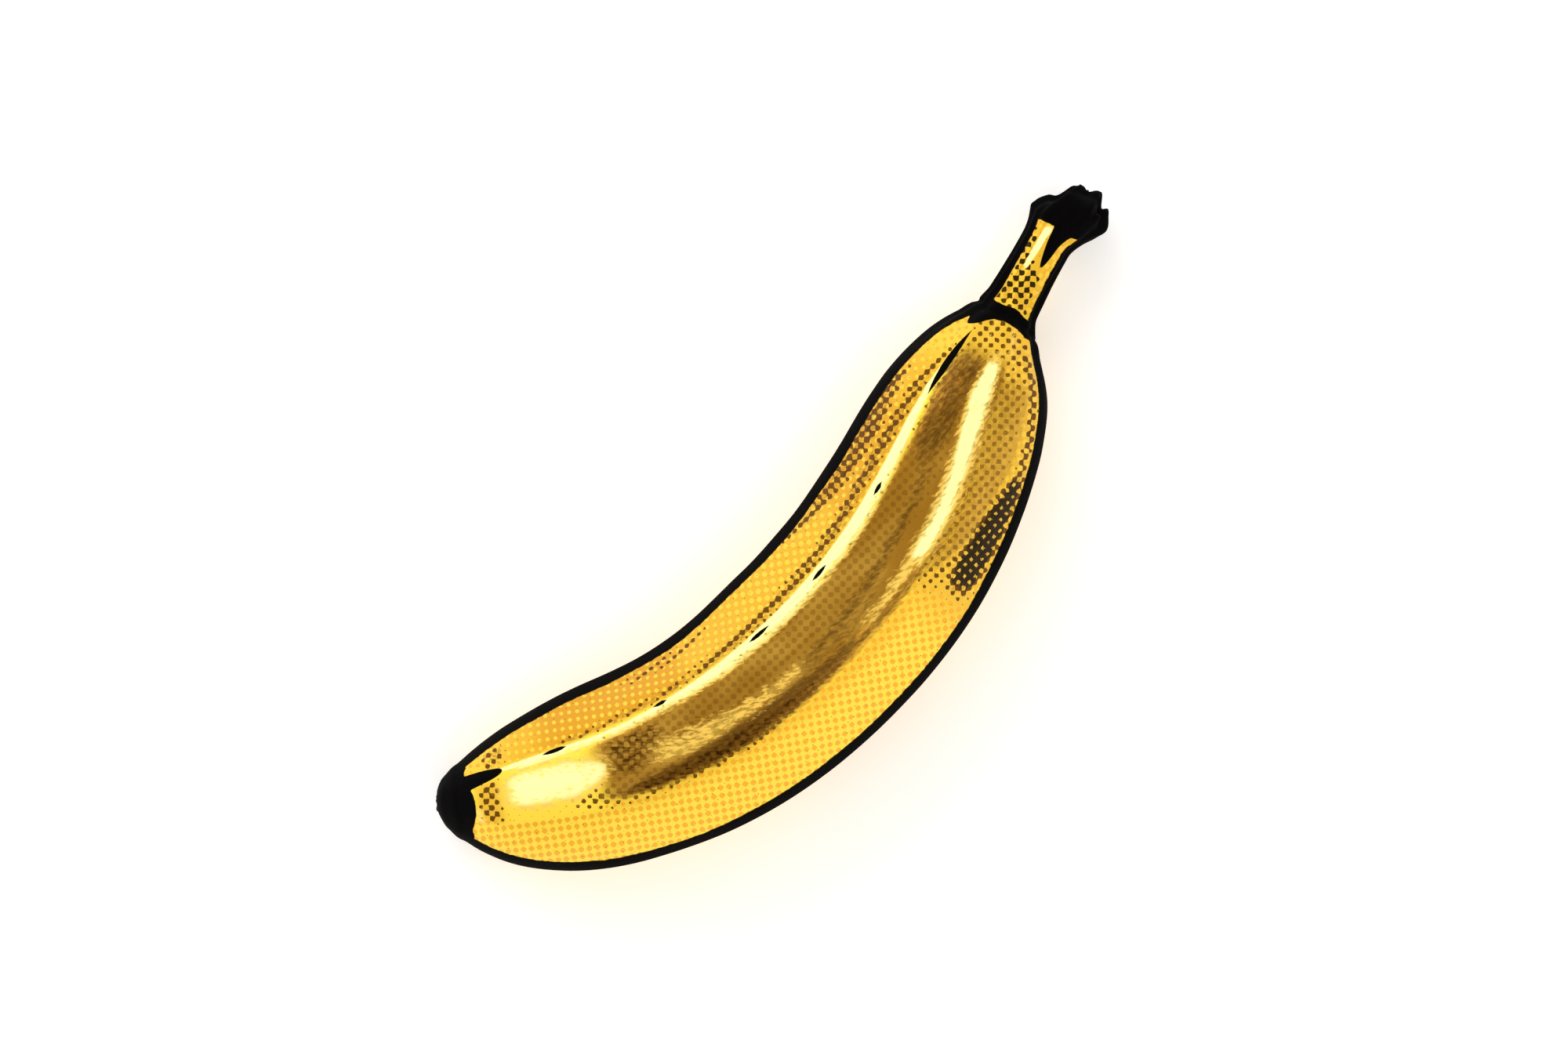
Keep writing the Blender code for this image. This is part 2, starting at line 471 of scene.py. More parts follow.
@dataclass(frozen=True)
class Dents:
    """The soft unevenness of a ripe peel: swells, finger-sized dents, a slight grain and a long hollow."""

    swell: float = 0.22 * MM
    dent: float = 0.16 * MM
    grain: float = 0.03 * MM
    hollow: float = 1.2 * MM  # a long, shallow hollow in the inner curve
    hollow_at: float = 0.30  # share of the fruit's length, as is its reach
    hollow_reach: float = 0.15
    hollow_round: float = 1.3  # radians either side of the inner keel

    def relief(self, form: FruitForm, straight: np.ndarray) -> np.ndarray:
        """How far the skin stands out, in metres, at each point of the straight fruit.

        Args:
            form: the fruit's plain form.
            straight: points of the straight fruit, one row (along, inwards, up) each.

        Returns:
            One height for each point.
        """
        along = straight[:, 0]
        turned = np.abs(np.arctan2(straight[:, 2], straight[:, 1]))
        lengthwise = hump(along / form.length, self.hollow_at, self.hollow_reach)
        hollow = self.hollow * lengthwise * hump(turned, 0.0, self.hollow_round)
        body = 0.25 + 0.75 * form.mid_body(along)
        swells = noise_at(straight, (34, 60, 60), 3.1) * self.swell
        dents = noise_at(straight, (75, 150, 150), 11.7) * self.dent
        grain = noise_at(straight, (160, 520, 520), 5.3) * self.grain
        return (swells + dents) * body + grain - hollow


@dataclass(frozen=True)
class Neck:
    """Where the body closes on the stem: pleats that run in from the ridges, then a creased collar."""

    at: float = 0.1612
    pleats: int = 11
    pleat_height: float = 0.28 * MM
    pleat_reach: float = 0.017
    crease_depth: float = 0.38 * MM
    crease_reach: float = 0.9 * MM
    lip_height: float = 0.30 * MM
    lip_reach: float = 2.2 * MM

    def line(self, around: np.ndarray) -> np.ndarray:
        """Where the crease runs, as a distance from the tip, at each angle round the neck."""
        wave = 0.9 * np.sin(around + 0.6) + 0.5 * np.sin(3 * around + 1.9) + 0.3 * np.sin(5 * around)
        return self.at + wave * MM

    def relief(self, along: np.ndarray, around: np.ndarray) -> np.ndarray:
        """How far the skin stands out, in metres.

        Args:
            along: distances from the tip.
            around: the angle round the fruit at each point.

        Returns:
            One height for each point.
        """
        off = along - self.line(around)
        pleated = np.cos(self.pleats * around + 1.2 * np.sin(2 * around))
        pleat = self.pleat_height * pleated * hump(along, self.at - 0.001, self.pleat_reach)
        lip = self.lip_height * hump(off, -1.6 * self.crease_reach, self.lip_reach)
        stub = 0.6 * self.lip_height * hump(off, 1.7 * self.crease_reach, self.lip_reach)
        return pleat + lip + stub - self.crease_depth * hump(off, 0.0, self.crease_reach)


@dataclass(frozen=True)
class Stem:
    """The stem's fibre ribs."""

    ribs: int = 13
    rib_height: float = 0.16 * MM

    def relief(self, form: FruitForm, straight: np.ndarray, around: np.ndarray) -> np.ndarray:
        """How far the skin stands out, in metres.

        Args:
            form: the fruit's plain form.
            straight: points of the straight fruit, one row (along, inwards, up) each.
            around: the angle round the fruit at each point.

        Returns:
            One height for each point.
        """
        along = straight[:, 0]
        wander = noise_at(straight, (60, 0, 0), 21.0)
        ribs = np.cos(self.ribs * around + 1.5 * wander) + 0.4 * np.cos(7 * around + 2.0)
        here = ramp(along, form.body_length + 0.001, form.body_length + 0.006)
        return self.rib_height * ribs * here


@dataclass(frozen=True)
class Knob:
    """A rounded lump on the cut end, or a groove across it where the height is below zero. All in mm."""

    inwards: float
    reach: float
    height: float

    def amount(self, inwards: np.ndarray, up: np.ndarray) -> np.ndarray:
        """How far it stands up at each place on the end, in metres.

        Args:
            inwards: how far in from the middle each place is.
            up: how far up from the middle each place is.

        Returns:
            One height for each place.
        """
        aside = 0.0 if self.height < 0 else 0.45
        away = np.hypot(inwards / MM - self.inwards, aside * up / MM)
        return self.height * MM * hump(away, 0.0, self.reach)


@dataclass(frozen=True)
class Crown:
    """The dark cut end of the stem: a lobed rim, knobs, and a sunken pith in its end face."""

    lobes: int = 6
    lobe_height: float = 0.80 * MM
    knob_height: float = 0.30 * MM
    dome_apex: float = -0.4 * MM
    dome_rise: float = 1.35 * MM
    dome_fall: float = 92.0  # per metre, across the end
    dome_fall_up: float = 0.4  # share of that fall, up and down the end
    rim_rise: float = 1.2 * MM
    knobs: tuple[Knob, ...] = (
        Knob(-1.9, 2.3, 1.55),
        Knob(1.5, 2.6, 1.70),
        Knob(7.2, 2.6, 1.0),
        Knob(4.4, 1.7, -1.10),
        Knob(-3.75, 1.45, -2.0),
        Knob(-5.6, 1.6, -0.5),
    )
    pith_depth: float = 1.6 * MM
    reach: float = 11.0 * MM
    shoulder: float = 0.55 * MM  # how far the rim stands out on the outer side
    shoulder_reach: float = 1.2  # radians

    def here(self, form: FruitForm, along: np.ndarray) -> np.ndarray:
        """1 at the rim, 0 where the stem is still plain."""
        return ramp(along, form.length - self.reach, form.length - 0.25 * self.reach)

    def lobed(self, around: np.ndarray) -> np.ndarray:
        """1 on each lobe and 0 between two lobes."""
        wander = 0.55 * np.sin(2 * around + 0.4) + 0.35 * np.sin(3 * around + 2.2)
        return 0.5 + 0.5 * np.cos(self.lobes * around + wander)

    def relief(self, form: FruitForm, straight: np.ndarray, around: np.ndarray) -> np.ndarray:
        """How far the skin stands out, in metres.

        Args:
            form: the fruit's plain form.
            straight: points of the straight fruit, one row (along, inwards, up) each.
            around: the angle round the fruit at each point.

        Returns:
            One height for each point.
        """
        knobs = noise_at(straight, (380, 380, 380), 31.0) * self.knob_height
        folds = self.lobe_height * (self.lobed(around) ** 1.5 - 0.75)
        rim = ramp(straight[:, 0], form.length - 0.55 * self.reach, form.length - 0.1 * self.reach)
        shoulder = self.shoulder * rim * hump(around, pi, self.shoulder_reach)
        return self.here(form, straight[:, 0]) * (folds + knobs) + shoulder

    def rise(self, form: FruitForm, straight: np.ndarray, around: np.ndarray) -> np.ndarray:
        """How far the end stands out past its plain face, in metres, round its sunken pith.

        Args:
            form: the fruit's plain form.
            straight: points of the straight fruit, one row (along, inwards, up) each.
            around: the angle round the fruit at each point.

        Returns:
            One distance for each point.
        """
        along, inwards, up = straight.T
        out = np.hypot(inwards, up) / (form.crown_width / 2)
        here = eased((along - form.length + self.reach) / self.reach)
        fall = (inwards - self.dome_apex) ** 2 + self.dome_fall_up * up**2
        dome = self.dome_rise - self.dome_fall * fall
        rough = noise_at(straight, (0, 330, 330), 44.0)
        rim = self.rim_rise * (self.lobed(around) ** 0.8 - 0.62 + 0.35 * rough) * ramp(out, 0.30, 0.62)
        knobs = sum(knob.amount(inwards, up) for knob in self.knobs)
        pith = self.pith_depth * ramp(-out, -0.42, -0.12) * ramp(along, form.length - 1.0 * MM, form.length)
        return here * (dome + rim + knobs) - pith


@dataclass(frozen=True)
class BlossomTip:
    """The fruit's blossom end: a small notched rim round a pit, slanted back on its outer side."""

    notches: int = 5
    notch_depth: float = 0.22 * MM
    pit_depth: float = 0.9 * MM
    ring_at: float = 3.4 * MM
    ring_height: float = 0.22 * MM
    slant: float = 0.6 * MM  # how far the outer side of the tip falls back
    slant_across: float = 4.5 * MM
    slant_from: float = 4 * MM
    slant_to: float = 17 * MM

    def relief(self, straight: np.ndarray, around: np.ndarray) -> np.ndarray:
        """How far the skin stands out, in metres.

        Args:
            straight: points of the straight fruit, one row (along, inwards, up) each.
            around: the angle round the fruit at each point.

        Returns:
            One height for each point.
        """
        along = straight[:, 0]
        ring = self.ring_height * hump(along, self.ring_at, 1.6 * MM)
        cut = 0.5 - 0.5 * np.cos(self.notches * around + 0.8)
        rough = 0.16 * MM * noise_at(straight, (300, 300, 300), 52.0) * (1 - ramp(along, 4 * MM, 9 * MM))
        return ring - self.notch_depth * cut * (1 - ramp(along, 0.8 * MM, 3.0 * MM)) + rough

    def set_in(self, form: FruitForm, straight: np.ndarray) -> np.ndarray:
        """How far the end is set in towards the body, in metres: a pit in its face, and a slant.

        Args:
            form: the fruit's plain form.
            straight: points of the straight fruit, one row (along, inwards, up) each.

        Returns:
            One distance for each point.
        """
        along, inwards, up = straight.T
        out = np.hypot(inwards, up) / (form.tip_width / 2 * form.end_face)
        pit = self.pit_depth * ramp(-out, -0.85, -0.3) * (1 - ramp(along, 0.0, 0.3 * MM))
        near = 1 - ramp(along, self.slant_from, self.slant_to)
        return pit + self.slant * ramp(-inwards, 0.0, self.slant_across) * near


# ---------------------------------------------------------------------------------------------------------
# The markings of the peel, laid on by share of the length and by angle in degrees
# ---------------------------------------------------------------------------------------------------------


class Layer(Enum):
    """The layers that the peel's markings are laid in."""

    ORANGE = "orange_tone"
    SPOTS = "spot_tone"
    # Dark gold foil: more metallic, and partly a painted dark reflection.
    FOIL_WITH_PAINTED_REFLECTION = "foil"
    # Painted shade: darker brown streaks, bands and patches.
    SHADE = "shade"
    BROWN = "brown_tone"
    # Painted highlights: pale streaks and patches along the ridges, the top facet and the ends.
    PAINTED_HIGHLIGHT = "painted_highlight"


@dataclass(frozen=True)
class Marking:
    """One soft-edged stroke of a layer, along a path on the fruit as it lies.

    Each point of the path is a share of the fruit's length, an angle round it and a half width, the last
    two in degrees.
    """

    layer: Layer
    strength: float
    path: tuple[tuple[float, float, float], ...]
    soft: float = 4.0
    taper: float = 0.02

    def amount(self, share: np.ndarray, degrees: np.ndarray) -> np.ndarray:
        """The stroke's strength at each place.

        Args:
            share: shares of the fruit's length.
            degrees: angles round the fruit.

        Returns:
            One strength for each place.
        """
        at, centre, half = np.transpose(self.path)
        away = np.abs((degrees - np.interp(share, at, centre) + 180) % 360 - 180)
        inside = np.interp(share, at, half) - away
        lengthwise = window(share, at[0], at[-1], self.taper)
        return self.strength * lengthwise * ramp(inside, -self.soft, self.soft)


def strip(layer: Layer, strength: float, centre: float, half: float, soft: float = 4.0) -> Marking:
    """A stroke of one width along the whole fruit."""
    return Marking(layer, strength, ((-0.5, centre, half), (1.5, centre, half)), soft)


MARKINGS = (
    # The inner strip, on both sides of its keel: orange, with brown dots and painted shade along its two
    # edges.
    strip(Layer.ORANGE, 0.35, 0, 61, 3),
    Marking(Layer.ORANGE, 0.74, ((0.07, 0, 61), (0.79, 0, 61)), 3, 0.03),
    Marking(Layer.ORANGE, 1.0, ((0.095, 0, 61), (0.34, 0, 61)), 3, 0.05),
    Marking(Layer.ORANGE, 0.9, ((0.56, 0, 61), (0.74, 0, 61)), 3, 0.03),
    strip(Layer.SPOTS, 0.27, 0, 61, 3),
    Marking(Layer.SPOTS, 0.42, ((0.36, 0, 61), (0.60, 0, 61)), 3, 0.08),
    Marking(Layer.BROWN, 0.40, ((0.24, 25, 4), (0.30, 25, 6), (0.36, 24, 4)), 5, 0.02),
    Marking(Layer.BROWN, 0.57, (
        (0.50, 17, 2), (0.56, 20, 5), (0.62, 24, 9), (0.68, 26, 12), (0.76, 25, 7)), 5),
    Marking(Layer.BROWN, 0.38, ((0.14, 59, 2), (0.32, 57, 3)), 4, 0.03),
    Marking(Layer.BROWN, 0.53, (
        (0.31, 56, 3), (0.42, 54, 5), (0.52, 52, 5), (0.60, 48, 5), (0.66, 47, 6), (0.74, 50, 6),
        (0.80, 57, 3))),
    Marking(Layer.BROWN, 0.42, ((0.055, 46, 12), (0.080, 46, 12)), 5, 0.006),
    Marking(Layer.BROWN, 0.45, ((0.30, -32, 4), (0.55, -36, 9), (0.78, -34, 5)), 8, 0.06),
    Marking(Layer.SHADE, 0.40, (
        (0.14, 60, 2), (0.34, 57, 4), (0.52, 53, 5), (0.64, 47, 6), (0.76, 54, 5)), 5),
    Marking(Layer.SHADE, 0.34, ((0.52, 18, 4), (0.66, 24, 10), (0.75, 24, 8)), 8, 0.04),
    Marking(Layer.SHADE, 0.34, ((0.055, 46, 12), (0.080, 46, 12)), 6, 0.010),
    # The top facet: dark gold foil, its darkness partly a painted dark reflection, with darker streaks of
    # painted shade, and a brown band of dots and painted shade along its outer side.
    Marking(Layer.FOIL_WITH_PAINTED_REFLECTION, 1.0, ((0.18, 87, 19), (0.25, 87, 21), (0.60, 88, 21), (0.80, 88, 21)), 4, 0.025),
    Marking(Layer.BROWN, 0.41, (
        (0.19, 80, 14), (0.40, 77, 12), (0.60, 77, 12), (0.80, 80, 13)), 5, 0.015),
    Marking(Layer.BROWN, 0.60, ((0.19, 80, 12), (0.215, 82, 14), (0.260, 77, 9)), 6, 0.012),
    Marking(Layer.BROWN, 0.50, ((0.70, 79, 9), (0.79, 79, 10)), 5, 0.012),
    Marking(Layer.BROWN, 0.50, ((0.145, 101, 3), (0.18, 102, 6), (0.24, 103, 8)), 6),
    Marking(Layer.BROWN, 0.62, ((0.20, 103, 5), (0.24, 104, 5.5), (0.32, 104, 6.5), (0.46, 104, 2))),
    Marking(Layer.SHADE, 0.36, ((0.19, 80, 12), (0.22, 82, 15), (0.26, 78, 9)), 6, 0.015),
    Marking(Layer.SHADE, 0.95, (
        (0.20, 103, 2), (0.24, 103, 4.5), (0.32, 103, 6.5), (0.40, 102.5, 6), (0.49, 104, 2))),
    Marking(Layer.SHADE, 0.60, ((0.44, 104, 2), (0.52, 106, 2.5), (0.58, 109, 3.5), (0.66, 109, 2.5))),
    Marking(Layer.SHADE, 0.66, (
        (0.40, 94, 2), (0.48, 90, 3), (0.54, 88, 3), (0.60, 86, 2), (0.68, 83, 2)), 4, 0.03),
    Marking(Layer.SHADE, 0.45, ((0.36, 97, 2), (0.46, 97, 4), (0.54, 94, 3)), 6, 0.03),
    Marking(Layer.SHADE, 0.72, ((0.67, 78, 4), (0.71, 77, 11), (0.79, 78, 14)), 6),
    # The outer strip: clear yellow with orange spots, turning golden brown towards the neck. Part of it is
    # foil gold that is partly a painted reflection, with painted shade under the top facet and over a dark
    # patch of dots.
    strip(Layer.SPOTS, 0.41, 180, 72, 3),
    Marking(Layer.ORANGE, 0.36, ((0.18, 110, 4), (0.40, 111, 7), (0.56, 112, 9)), 8, 0.04),
    Marking(Layer.ORANGE, 0.62, ((0.55, 165, 60), (0.85, 165, 60)), 8, 0.04),
    Marking(Layer.FOIL_WITH_PAINTED_REFLECTION, 0.56, ((0.575, 112, 5), (0.62, 118, 14), (0.70, 124, 20), (0.79, 122, 20)), 6),
    Marking(Layer.SHADE, 0.45, ((0.57, 111, 3), (0.62, 111, 4), (0.70, 108, 3)), 5),
    Marking(Layer.BROWN, 0.36, ((0.56, 118, 8), (0.66, 122, 16), (0.80, 118, 16)), 6),
    Marking(Layer.BROWN, 0.785, (
        (0.572, 146, 14), (0.60, 146, 18), (0.64, 149, 17), (0.67, 153, 13), (0.70, 157, 8)), 7, 0.014),
    Marking(Layer.SHADE, 0.45, (
        (0.575, 146, 10), (0.60, 146, 14), (0.64, 149, 13), (0.70, 157, 6)), 7, 0.016),
    Marking(Layer.BROWN, 0.58, (
        (0.69, 156, 6), (0.74, 154, 6), (0.77, 149, 7), (0.80, 140, 8), (0.825, 128, 8)), 5),
    Marking(Layer.ORANGE, 0.40, ((0.30, 215, 14), (0.60, 218, 22), (0.80, 214, 16)), 10, 0.06),
    Marking(Layer.BROWN, 0.62, ((0.33, 206, 4), (0.42, 212, 12), (0.52, 208, 5)), 7, 0.03),
    Marking(Layer.BROWN, 0.45, ((0.60, 224, 6), (0.70, 222, 10), (0.80, 216, 6)), 8, 0.03),
    # The underside, which looks like the top: foil with a painted dark reflection, dots and painted shade.
    Marking(Layer.FOIL_WITH_PAINTED_REFLECTION, 0.9, ((0.18, 268, 22), (0.50, 270, 28), (0.78, 268, 22)), 5, 0.04),
    Marking(Layer.BROWN, 0.36, ((0.18, 262, 18), (0.50, 260, 20), (0.80, 262, 18)), 8, 0.04),
    Marking(Layer.SHADE, 0.50, ((0.22, 250, 4), (0.50, 248, 6), (0.74, 252, 4)), 6, 0.06),
    # The two ends.
    Marking(Layer.BROWN, 0.50, ((0.048, 91, 18), (0.070, 91, 20)), 5, 0.006),
    Marking(Layer.ORANGE, 0.55, ((0.045, 91, 20), (0.072, 91, 20)), 6, 0.008),
    Marking(Layer.BROWN, 0.45, ((0.050, 220, 26), (0.068, 224, 22)), 12, 0.010),
    Marking(Layer.BROWN, 0.36, ((0.80, 100, 32), (0.85, 100, 40)), 6, 0.008),
    Marking(Layer.ORANGE, 0.48, ((0.79, 100, 40), (0.85, 100, 45)), 8, 0.010),
    Marking(Layer.BROWN, 0.30, ((0.79, 230, 40), (0.845, 230, 50)), 12, 0.015),
    Marking(Layer.ORANGE, 0.62, ((0.855, 90, 50), (0.96, 90, 50)), 8, 0.010),
    Marking(Layer.BROWN, 0.47, (
        (0.857, 88, 40), (0.90, 84, 30), (0.915, 60, 16), (0.945, 50, 8)), 4, 0.006),
    Marking(Layer.BROWN, 0.36, ((0.86, 250, 70), (1.10, 250, 70)), 14, 0.010),
    # Painted highlights, pale: along the first ridge, along the top facet and at both ends.
    Marking(Layer.PAINTED_HIGHLIGHT, 1.0, (
        (0.065, 63, 1.5), (0.10, 64, 3), (0.15, 64, 1.8), (0.20, 65, 1.4), (0.26, 64.5, 1.8),
        (0.34, 64, 2.8), (0.42, 63, 3.6), (0.50, 62.5, 4), (0.60, 61.5, 4), (0.70, 61, 4),
        (0.75, 61, 2.8), (0.79, 62, 1)), 1.6, 0.012),
    Marking(Layer.PAINTED_HIGHLIGHT, 0.74, (
        (0.08, 66, 4), (0.25, 66, 3.5), (0.36, 66, 4.5), (0.60, 64, 5.5), (0.72, 62, 3.5),
        (0.77, 62, 2)), 2.5),
    Marking(Layer.PAINTED_HIGHLIGHT, 1.0, (
        (0.078, 84, 8), (0.10, 84, 11), (0.13, 84, 9), (0.155, 84, 6), (0.17, 83, 3)), 6),
    Marking(Layer.PAINTED_HIGHLIGHT, 0.80, (
        (0.070, 84, 14), (0.10, 84, 17), (0.15, 85, 16), (0.18, 85, 10), (0.20, 84, 4)), 8),
    Marking(Layer.PAINTED_HIGHLIGHT, 1.0, (
        (0.575, 102, 3), (0.60, 103, 4.5), (0.64, 103, 4.2), (0.68, 101, 4.5), (0.72, 98.5, 6),
        (0.76, 97, 7), (0.80, 97, 5)), 3.6, 0.012),
    Marking(Layer.PAINTED_HIGHLIGHT, 0.70, (
        (0.565, 102, 6), (0.62, 103, 7.5), (0.68, 101, 8), (0.76, 97, 10), (0.81, 98, 7)), 4),
    Marking(Layer.PAINTED_HIGHLIGHT, 0.60, ((0.235, 88, 8), (0.28, 90, 8), (0.36, 92, 5), (0.43, 92, 3)), 5),
    Marking(Layer.PAINTED_HIGHLIGHT, 0.62, ((0.49, 101, 3), (0.54, 101, 4), (0.59, 102, 5)), 4),
    Marking(Layer.PAINTED_HIGHLIGHT, 0.70, ((0.038, 104, 10), (0.052, 106, 12)), 6, 0.006),
    Marking(Layer.PAINTED_HIGHLIGHT, 0.50, ((0.80, 84, 2), (0.845, 80, 5)), 5, 0.008),
    Marking(Layer.PAINTED_HIGHLIGHT, 0.50, ((0.80, 108, 3), (0.845, 112, 6)), 5, 0.008),
    Marking(Layer.PAINTED_HIGHLIGHT, 0.95, ((0.90, 72, 6), (0.925, 74, 9), (0.955, 76, 10)), 4, 0.008),
    Marking(Layer.PAINTED_HIGHLIGHT, 0.50, ((0.87, 128, 4), (0.95, 132, 5)), 6, 0.010),
    Marking(Layer.PAINTED_HIGHLIGHT, 0.50, ((0.20, 282, 3), (0.50, 286, 5), (0.78, 282, 3)), 5, 0.04),
)


@dataclass(frozen=True)
class Wedge:
    """A pointed tongue of black that runs out from one of the blackened ends."""

    degrees: float
    length: float
    reach: float

    def amount(self, degrees: np.ndarray) -> np.ndarray:
        """How much further the black reaches at each angle, in metres."""
        away = (degrees - self.degrees + 180) % 360 - 180
        return self.length * hump(away, 0.0, self.reach) ** 0.7


@dataclass(frozen=True)
class InkLines:
    """The blackened parts: both keels, both ends, the neck's crease and lines along three ridges."""

    keel_width: float = 2.0 * MM
    keel_under: float = 1.3 * MM
    stem_thinner: float = 0.45 * MM
    tip_end: float = 6.6 * MM
    tip_wedges: tuple[Wedge, ...] = (
        Wedge(64, 8.0 * MM, 11),
        Wedge(92, 1.6 * MM, 34),
        Wedge(235, 6.0 * MM, 14),
        Wedge(304, 5.0 * MM, 12),
    )
    crown_start: float = 8.6 * MM
    crown_wedges: tuple[Wedge, ...] = (
        Wedge(104, 8.4 * MM, 22),
        Wedge(228, 6.0 * MM, 22),
        Wedge(300, 5.0 * MM, 24),
    )
    crease_width: float = 1.65 * MM
    crease_blots: tuple[Wedge, ...] = (
        Wedge(52, 1.6 * MM, 24),
        Wedge(158, 1.2 * MM, 20),
        Wedge(262, 1.2 * MM, 26),
    )
    soft: float = 1.6 * MM
    dashed: tuple[int, ...] = (1, 4, 5)
    dash_width: float = 0.46 * MM
    dash_gap: tuple[float, float] = (0.07, 0.15)
    dash_half: tuple[float, float] = (0.005, 0.014)
    dashes_from: float = 0.14  # shares of the fruit's length
    dashes_to: float = 0.66
    long_dash_at: float = 0.778
    long_dash_half: float = 0.040
    long_dash_width: float = 1.7  # times the other dashes' width

    def field(self, form: FruitForm, neck: Neck, straight: np.ndarray, around: np.ndarray) -> np.ndarray:
        """0 to 1 at each point, and over one half where it is black.

        Args:
            form: the fruit's plain form.
            neck: the neck, whose crease is black.
            straight: points of the straight fruit, one row (along, inwards, up) each.
            around: the angle round the fruit at each point.

        Returns:
            One value for each point.
        """
        along, inwards, up = straight.T
        degrees = np.degrees(around)
        keel = self.keel_width * (1.12 - 0.12 * form.mid_body(along))
        keel = keel - self.stem_thinner * ramp(along / form.length, 0.82, 0.87)
        keel = keel - (form.width(along) / 2 - np.abs(inwards))
        keel = keel + 0.22 * MM * noise_at(straight, (70, 0, 0), 61.0)
        under = self.keel_under + up + 0.5 * MM * noise_at(straight, (130, 0, 0), 64.0)
        keel = np.minimum(keel, under)
        spots = 0.7 * MM * noise_at(straight, (200, 420, 420), 62.0)
        tip = self.tip_end - along + spots + sum(w.amount(degrees) for w in self.tip_wedges)
        crown = along - form.length + self.crown_start + spots
        crown = crown + sum(w.amount(degrees) for w in self.crown_wedges)
        blots = sum(w.amount(degrees) for w in self.crease_blots)
        crease = self.crease_width + 0.5 * spots + blots - np.abs(along - neck.line(around) + 0.5 * blots)
        most = np.maximum.reduce([keel, tip, crown, crease])
        return np.clip(0.5 + most / (2 * self.soft), 0.0, 1.0)

    def dashes(self, form: FruitForm, along: np.ndarray, number: int) -> np.ndarray:
        """The half width, in metres, of the broken line along a ridge at each distance from the tip.

        Args:
            form: the fruit's plain form.
            along: distances from the tip.
            number: which ridge.

        Returns:
            One half width for each distance.
        """
        draw = np.random.default_rng(40 + number)
        share = along / form.length
        width = np.zeros_like(along)
        at = self.dashes_from
        while at < self.dashes_to:
            half = draw.uniform(*self.dash_half)
            rounded = np.sqrt(np.maximum(1 - ((share - at) / half) ** 2, 0))
            width = np.maximum(width, self.dash_width * rounded)
            at += draw.uniform(*self.dash_gap)
        long_dash = np.maximum(1 - ((share - self.long_dash_at) / self.long_dash_half) ** 2, 0)
        return np.maximum(width, self.long_dash_width * self.dash_width * long_dash)


# ---------------------------------------------------------------------------------------------------------
# The skin
# ---------------------------------------------------------------------------------------------------------


